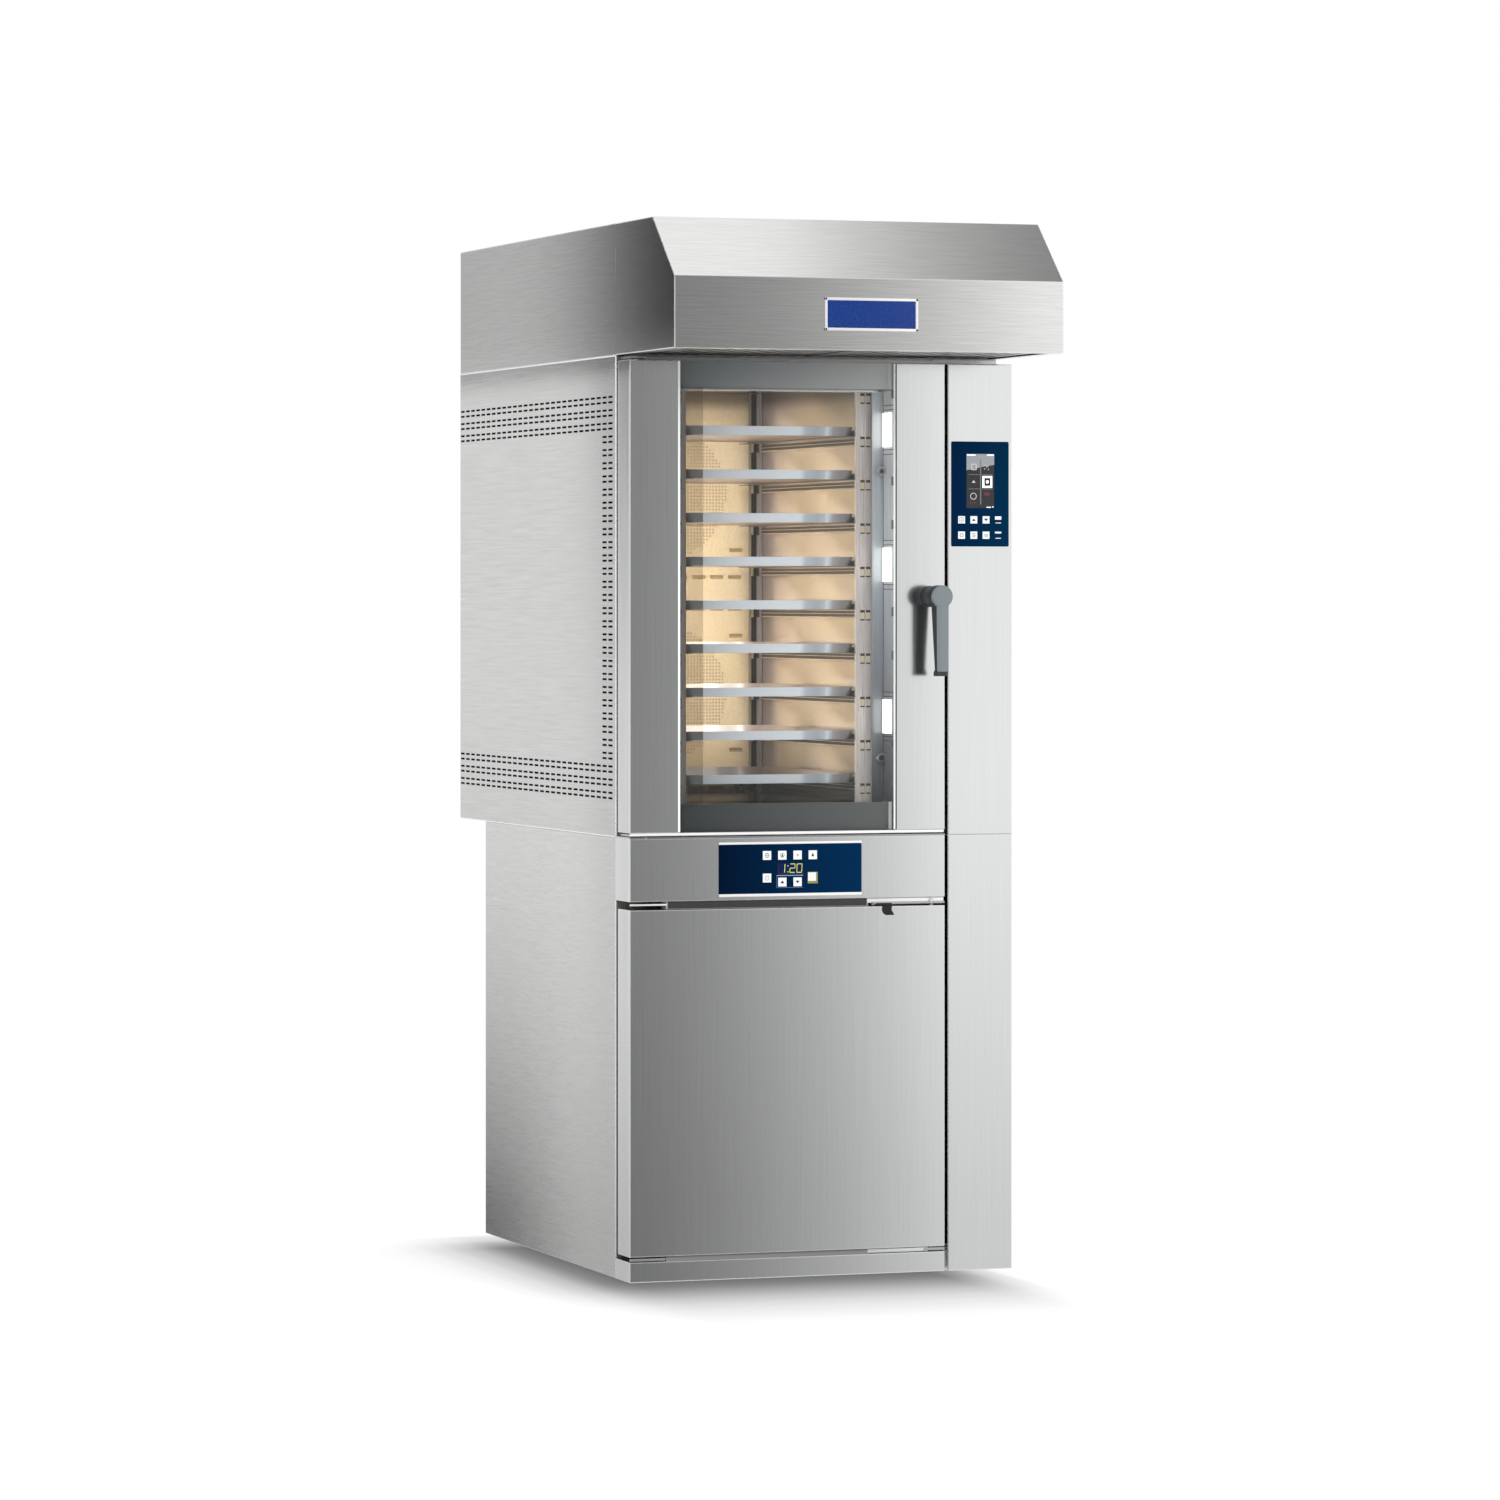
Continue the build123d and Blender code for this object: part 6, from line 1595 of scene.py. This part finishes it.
# Black sheets behind the slots are painted shade, so the slots read as black dashes.
screens = bmesh.new()
slot_shade_black = moulded("black_slot_shade_sheet", "#0C0C0D", "#070708", (0.8, 0.9), 2.0, shine=0.1)
for x in (side_low.x + 3.6, -side_low.x - 4.2):
    near, far = (x, side_low.y + 6, side_low.z + 20), (x + 0.6, side_high.y - 6, side_high.z - 20)
    add_block(screens, near, far)
finish_piece("vent_screens", screens, slot_shade_black, "cabinet")
print("casing side from", [round(v, 1) for v in side_low], "to", [round(v, 1) for v in side_high])

# %% [markdown]
# ## Floor, light and reflections
# A photographer lights steel with white cards rather than with lamps, because a metal face only shows what
# stands opposite it. The room is white. A tall card in front fades from grey to white, which gives the doors
# their sweep from dark on the left to bright on the right. Black flags beside the hood and low at the back
# darken the side. The cards belong to the studio, so only reflections see them.

# %% World
world = bpy.data.worlds.new("studio")
bpy.context.scene.world = world
world.use_nodes = True
sky = world.node_tree
sky.nodes.clear()


def seen_directly(tree):
    """One for rays from the camera, from a mirror and through glass, and nought for light on matt things."""
    path = add(tree, "ShaderNodeLightPath").outputs
    two = math_step(tree, "ADD", path["Is Camera Ray"], path["Is Glossy Ray"])
    return math_step(tree, "ADD", two, path["Is Transmission Ray"])


SOFT_LIGHT = 0.62
level = span(sky, seen_directly(sky), 0, 1, SOFT_LIGHT, 1.0)
ambient = add(sky, "ShaderNodeBackground", {"Color": linear("#FFFFFF"), "Strength": level})
add(sky, "ShaderNodeOutputWorld", {"Surface": ambient.outputs[0]})
print("white room, soft light", SOFT_LIGHT)

# %% [markdown]
# ## The floor
# The floor is a plain pale sweep that was overexposed to white in the picture, with only the soft shadow of
# the cabinet left on it. So it glows a little to stay white, and both its glow and its colour die away
# towards the footprint: over more than a metre in front, where the floor runs to the camera, and over some
# forty centimetres at the left and twenty at the right.

# %% Floor
FLOOR_SIDE = 60
floor_bm = bmesh.new()
bmesh.ops.create_grid(floor_bm, x_segments=1, y_segments=1, size=FLOOR_SIDE / 2)
floor_mesh = bpy.data.meshes.new("floor")
floor_bm.to_mesh(floor_mesh)
floor_bm.free()
floor = bpy.data.objects.new("floor", floor_mesh)
bpy.context.scene.collection.objects.link(floor)
floor.visible_glossy = False
pale, tree, coords = new_finish("pale_studio_floor")
FLOOR_LIFT = 0.85
places = add(tree, "ShaderNodeSeparateXYZ", {0: coords}).outputs
across = [(-440, 0.0), (-375, 0.03), (-300, 0.09), (-248, 0.18), (-185, 0.36), (-121, 0.6), (-58, 0.9)]
across += [(0, 1.0), (690, 1.0), (740, 0.82), (783, 0.5), (834, 0.1), (890, 0.0)]
along = [(-1060, 0.0), (-905, 0.04), (-718, 0.12), (-620, 0.21), (-520, 0.3), (-420, 0.41), (-315, 0.58)]
along += [(-212, 0.76), (-100, 0.93), (0, 1.0), (760, 1.0), (925, 0.45), (1050, 0.0)]
# The floor's shadow is painted: its colour and glow dim by place towards the footprint.
SHADOW_DEPTH = 0.84
shades = []
for axis, start, stops in (("X", LEFT, across), ("Y", FRONT, along)):
    marks = [(start + place, "#%02X%02X%02X" % ((round(255 * level),) * 3)) for place, level in stops]
    tone = add(tree, "ShaderNodeSeparateColor", {0: colour_run(tree, places[axis], marks)}).outputs[0]
    shades.append(math_step(tree, "POWER", tone, 1 / 2.2))
dimming = math_step(tree, "MULTIPLY", math_step(tree, "MULTIPLY", shades[0], shades[1]), SHADOW_DEPTH)
openness = math_step(tree, "SUBTRACT", 1.0, dimming)
lift = math_step(tree, "MULTIPLY", openness, FLOOR_LIFT)
shade = blend_colours(tree, openness, "#000000", "#909090")
matte = add(tree, "ShaderNodeBsdfDiffuse", {"Color": shade})
glow = add(tree, "ShaderNodeEmission", {"Color": linear("#FFFFFF"), "Strength": lift})
both = add(tree, "ShaderNodeAddShader", {0: matte.outputs[0], 1: glow.outputs[0]})
add(tree, "ShaderNodeOutputMaterial", {"Surface": both.outputs[0]})
floor_mesh.materials.append(pale)
print("floor", FLOOR_SIDE, "m wide")

# %% Reflection cards


def ramp_along(tree, along, stops):
    """A level that follows stops, pairs of place in metres and level, along a coordinate."""
    first, last = stops[0][0], stops[-1][0]
    share = span(tree, along, first, last, 0, 1)
    ramp = add(tree, "ShaderNodeValToRGB", {0: share})
    ramp.color_ramp.interpolation = "B_SPLINE" if len(stops) > 3 else "LINEAR"
    marks = ramp.color_ramp.elements
    while len(marks) < len(stops):
        marks.new(0.5)
    for mark, (place, value) in zip(marks, stops):
        mark.position = (place - first) / (last - first)
        mark.color = (value, value, value, 1)
    return ramp.outputs[0]


def card(name, corners, axis, stops, fade_axis="Z", fade=((-2, 1.0), (5, 1.0)), rest=0.0):
    """A card that only reflections see. Its light follows the stops, and the fade mixes it with the rest."""
    bm = bmesh.new()
    bm.faces.new([bm.verts.new(corner) for corner in corners])
    mesh = bpy.data.meshes.new(name)
    bm.to_mesh(mesh)
    bm.free()
    obj = bpy.data.objects.new(name, mesh)
    bpy.context.scene.collection.objects.link(obj)
    obj.visible_camera = False
    obj.visible_diffuse = False
    obj.visible_shadow = False
    obj.visible_transmission = False
    material, tree, coords = new_finish(name + "_paint")
    places = add(tree, "ShaderNodeSeparateXYZ", {0: coords}).outputs
    light = ramp_along(tree, places[axis], stops)
    weight = ramp_along(tree, places[fade_axis], fade)
    excess = math_step(tree, "SUBTRACT", light, rest)
    level = math_step(tree, "ADD", math_step(tree, "MULTIPLY", excess, weight), rest)
    glow = add(tree, "ShaderNodeEmission", {"Color": linear("#FFFFFF"), "Strength": level})
    add(tree, "ShaderNodeOutputMaterial", {"Surface": glow.outputs[0]})
    mesh.materials.append(material)
    return obj


FRONT_CARD_Y = -1.35
card(
    "front_card",
    [(-3, FRONT_CARD_Y, -1), (3, FRONT_CARD_Y, -1), (3, FRONT_CARD_Y, 3.4), (-3, FRONT_CARD_Y, 3.4)],
    "X",
    [
        (-0.5, 0.22),
        (-0.15, 0.26),
        (0.1, 0.40),
        (0.35, 0.63),
        (0.55, 0.88),
        (0.72, 1.18),
        (0.9, 1.36),
        (1.2, 1.42),
    ],
    fade=[
        (-1, 0.64),
        (0.1, 0.78),
        (0.45, 0.86),
        (0.8, 0.95),
        (1.2, 1.02),
        (1.6, 1.15),
        (2.1, 1.5),
        (3.4, 1.62),
    ],
)
card(
    "ceiling_card",
    [(-2, -2.4, 3.6), (2.6, -2.4, 3.6), (2.6, 1.2, 3.6), (-2, 1.2, 3.6)],
    "X",
    [(-0.2, 2.4), (0.08, 1.62), (0.25, 1.1), (0.45, 0.74), (0.8, 0.37), (1.1, 0.23), (1.4, 0.2)],
)
FLAG_X = -0.62
card(
    "hood_flag",
    [(FLAG_X, -0.9, 2.0), (FLAG_X, 2.4, 2.0), (FLAG_X, 2.4, 2.9), (FLAG_X, -0.9, 2.9)],
    "Y",
    [(-0.3, 0.02), (-0.1, 0.07), (0.1, 0.15), (0.3, 0.30), (0.55, 0.43), (0.8, 0.5), (1.1, 0.5), (1.6, 0.45)],
    fade=[(2.0, 0.9), (2.06, 0.98), (2.13, 1.0), (2.2, 1.12), (2.26, 1.35), (2.32, 1.6), (2.9, 1.6)],
    rest=1.0,
)
card(
    "low_flag",
    [(FLAG_X, -0.4, -0.9), (FLAG_X, 1.9, -0.9), (FLAG_X, 1.9, 1.2), (FLAG_X, -0.4, 1.2)],
    "Y",
    [(0.15, 0.75), (0.3, 0.66), (0.55, 0.5), (0.75, 0.34), (0.95, 0.2), (1.2, 0.15)],
    fade=[(-0.3, 1.1), (0.0, 1.0), (0.15, 0.8), (0.45, 0.42), (0.8, 0.1), (1.2, 0.0)],
    rest=1.0,
)
DOOR_FLAG_X, DOOR_FLAG_NEAR, DOOR_FLAG_FAR, DOOR_FLAG_TOP = -0.59, -0.09, 0.062, 2.035
card(
    "door_flag",
    [
        (DOOR_FLAG_X, DOOR_FLAG_NEAR, -0.9),
        (DOOR_FLAG_X, DOOR_FLAG_FAR, -0.9),
        (DOOR_FLAG_X, DOOR_FLAG_FAR, DOOR_FLAG_TOP),
        (DOOR_FLAG_X, DOOR_FLAG_NEAR, DOOR_FLAG_TOP),
    ],
    "Z",
    [
        (-0.9, 0.46),
        (0.1, 0.5),
        (0.35, 0.58),
        (0.6, 0.68),
        (1.25, 0.66),
        (1.5, 0.5),
        (1.72, 0.38),
        (1.95, 0.17),
        (DOOR_FLAG_TOP, 0.14),
    ],
)
print("cards set up")

# %% Lamps


def softbox(name, place, target, size, watts, colour="#FFFFFF", height=None):
    """A soft lamp that looks at a point, in metres. It stays out of every mirror and out of the picture."""
    data = bpy.data.lights.new(name, "AREA")
    data.shape = "RECTANGLE"
    data.size = size
    data.size_y = height or size
    data.energy = watts
    data.color = linear(colour)[:3]
    lamp = bpy.data.objects.new(name, data)
    lamp.location = place
    lamp.rotation_euler = (Vector(target) - Vector(place)).to_track_quat("-Z", "Y").to_euler()
    lamp.visible_glossy = False
    lamp.visible_camera = False
    bpy.context.scene.collection.objects.link(lamp)
    return lamp


softbox("key_light", (-3.0, -4.2, 4.6), (0, 0, 1.1), 2.6, 160)
softbox("fill_light", (4.4, -3.2, 3.4), (0, 0, 1.1), 2.6, 70)
print("lamps set up")

# %% [markdown]
# ## Light inside the chamber
# Halogen bulbs behind the stile windows throw a warm light across the trays, and the bright walls pass it on
# so many times that every level glows alike. Following all those bounces would take hours, so each level gets
# a soft lamp under its upper tray, and one tall lamp behind the inner pane lights the rims of the trays.

# %% Chamber lamps
chamber_low, chamber_high = part_box("chamber_liner")
middle = (chamber_low.z + chamber_high.z) / 2
tall = (chamber_high.z - chamber_low.z) * MM
LEVEL_WATTS = 2.6
for level in range(10):
    height = tray_low.z + TRAY_PITCH * level - 3.5
    watts = LEVEL_WATTS * (0.05 if level == 0 else 0.22 if level == 9 else 1.0)
    place = mm((tray_low.x + tray_high.x) / 2, FRONT + 430, height)
    softbox(f"level_{level}", place, place + Vector((0, 0.03, -0.1)), 0.38, watts, "#FFEEDB", 0.62)
softbox(
    "rim_light",
    mm((tray_low.x + tray_high.x) / 2, FRONT + 88, middle),
    mm((tray_low.x + tray_high.x) / 2, FRONT + 400, middle),
    0.38,
    0.42,
    "#F6F8FF",
    tall,
)
print("chamber lamps between", round(chamber_low.x), "and", round(chamber_high.x))
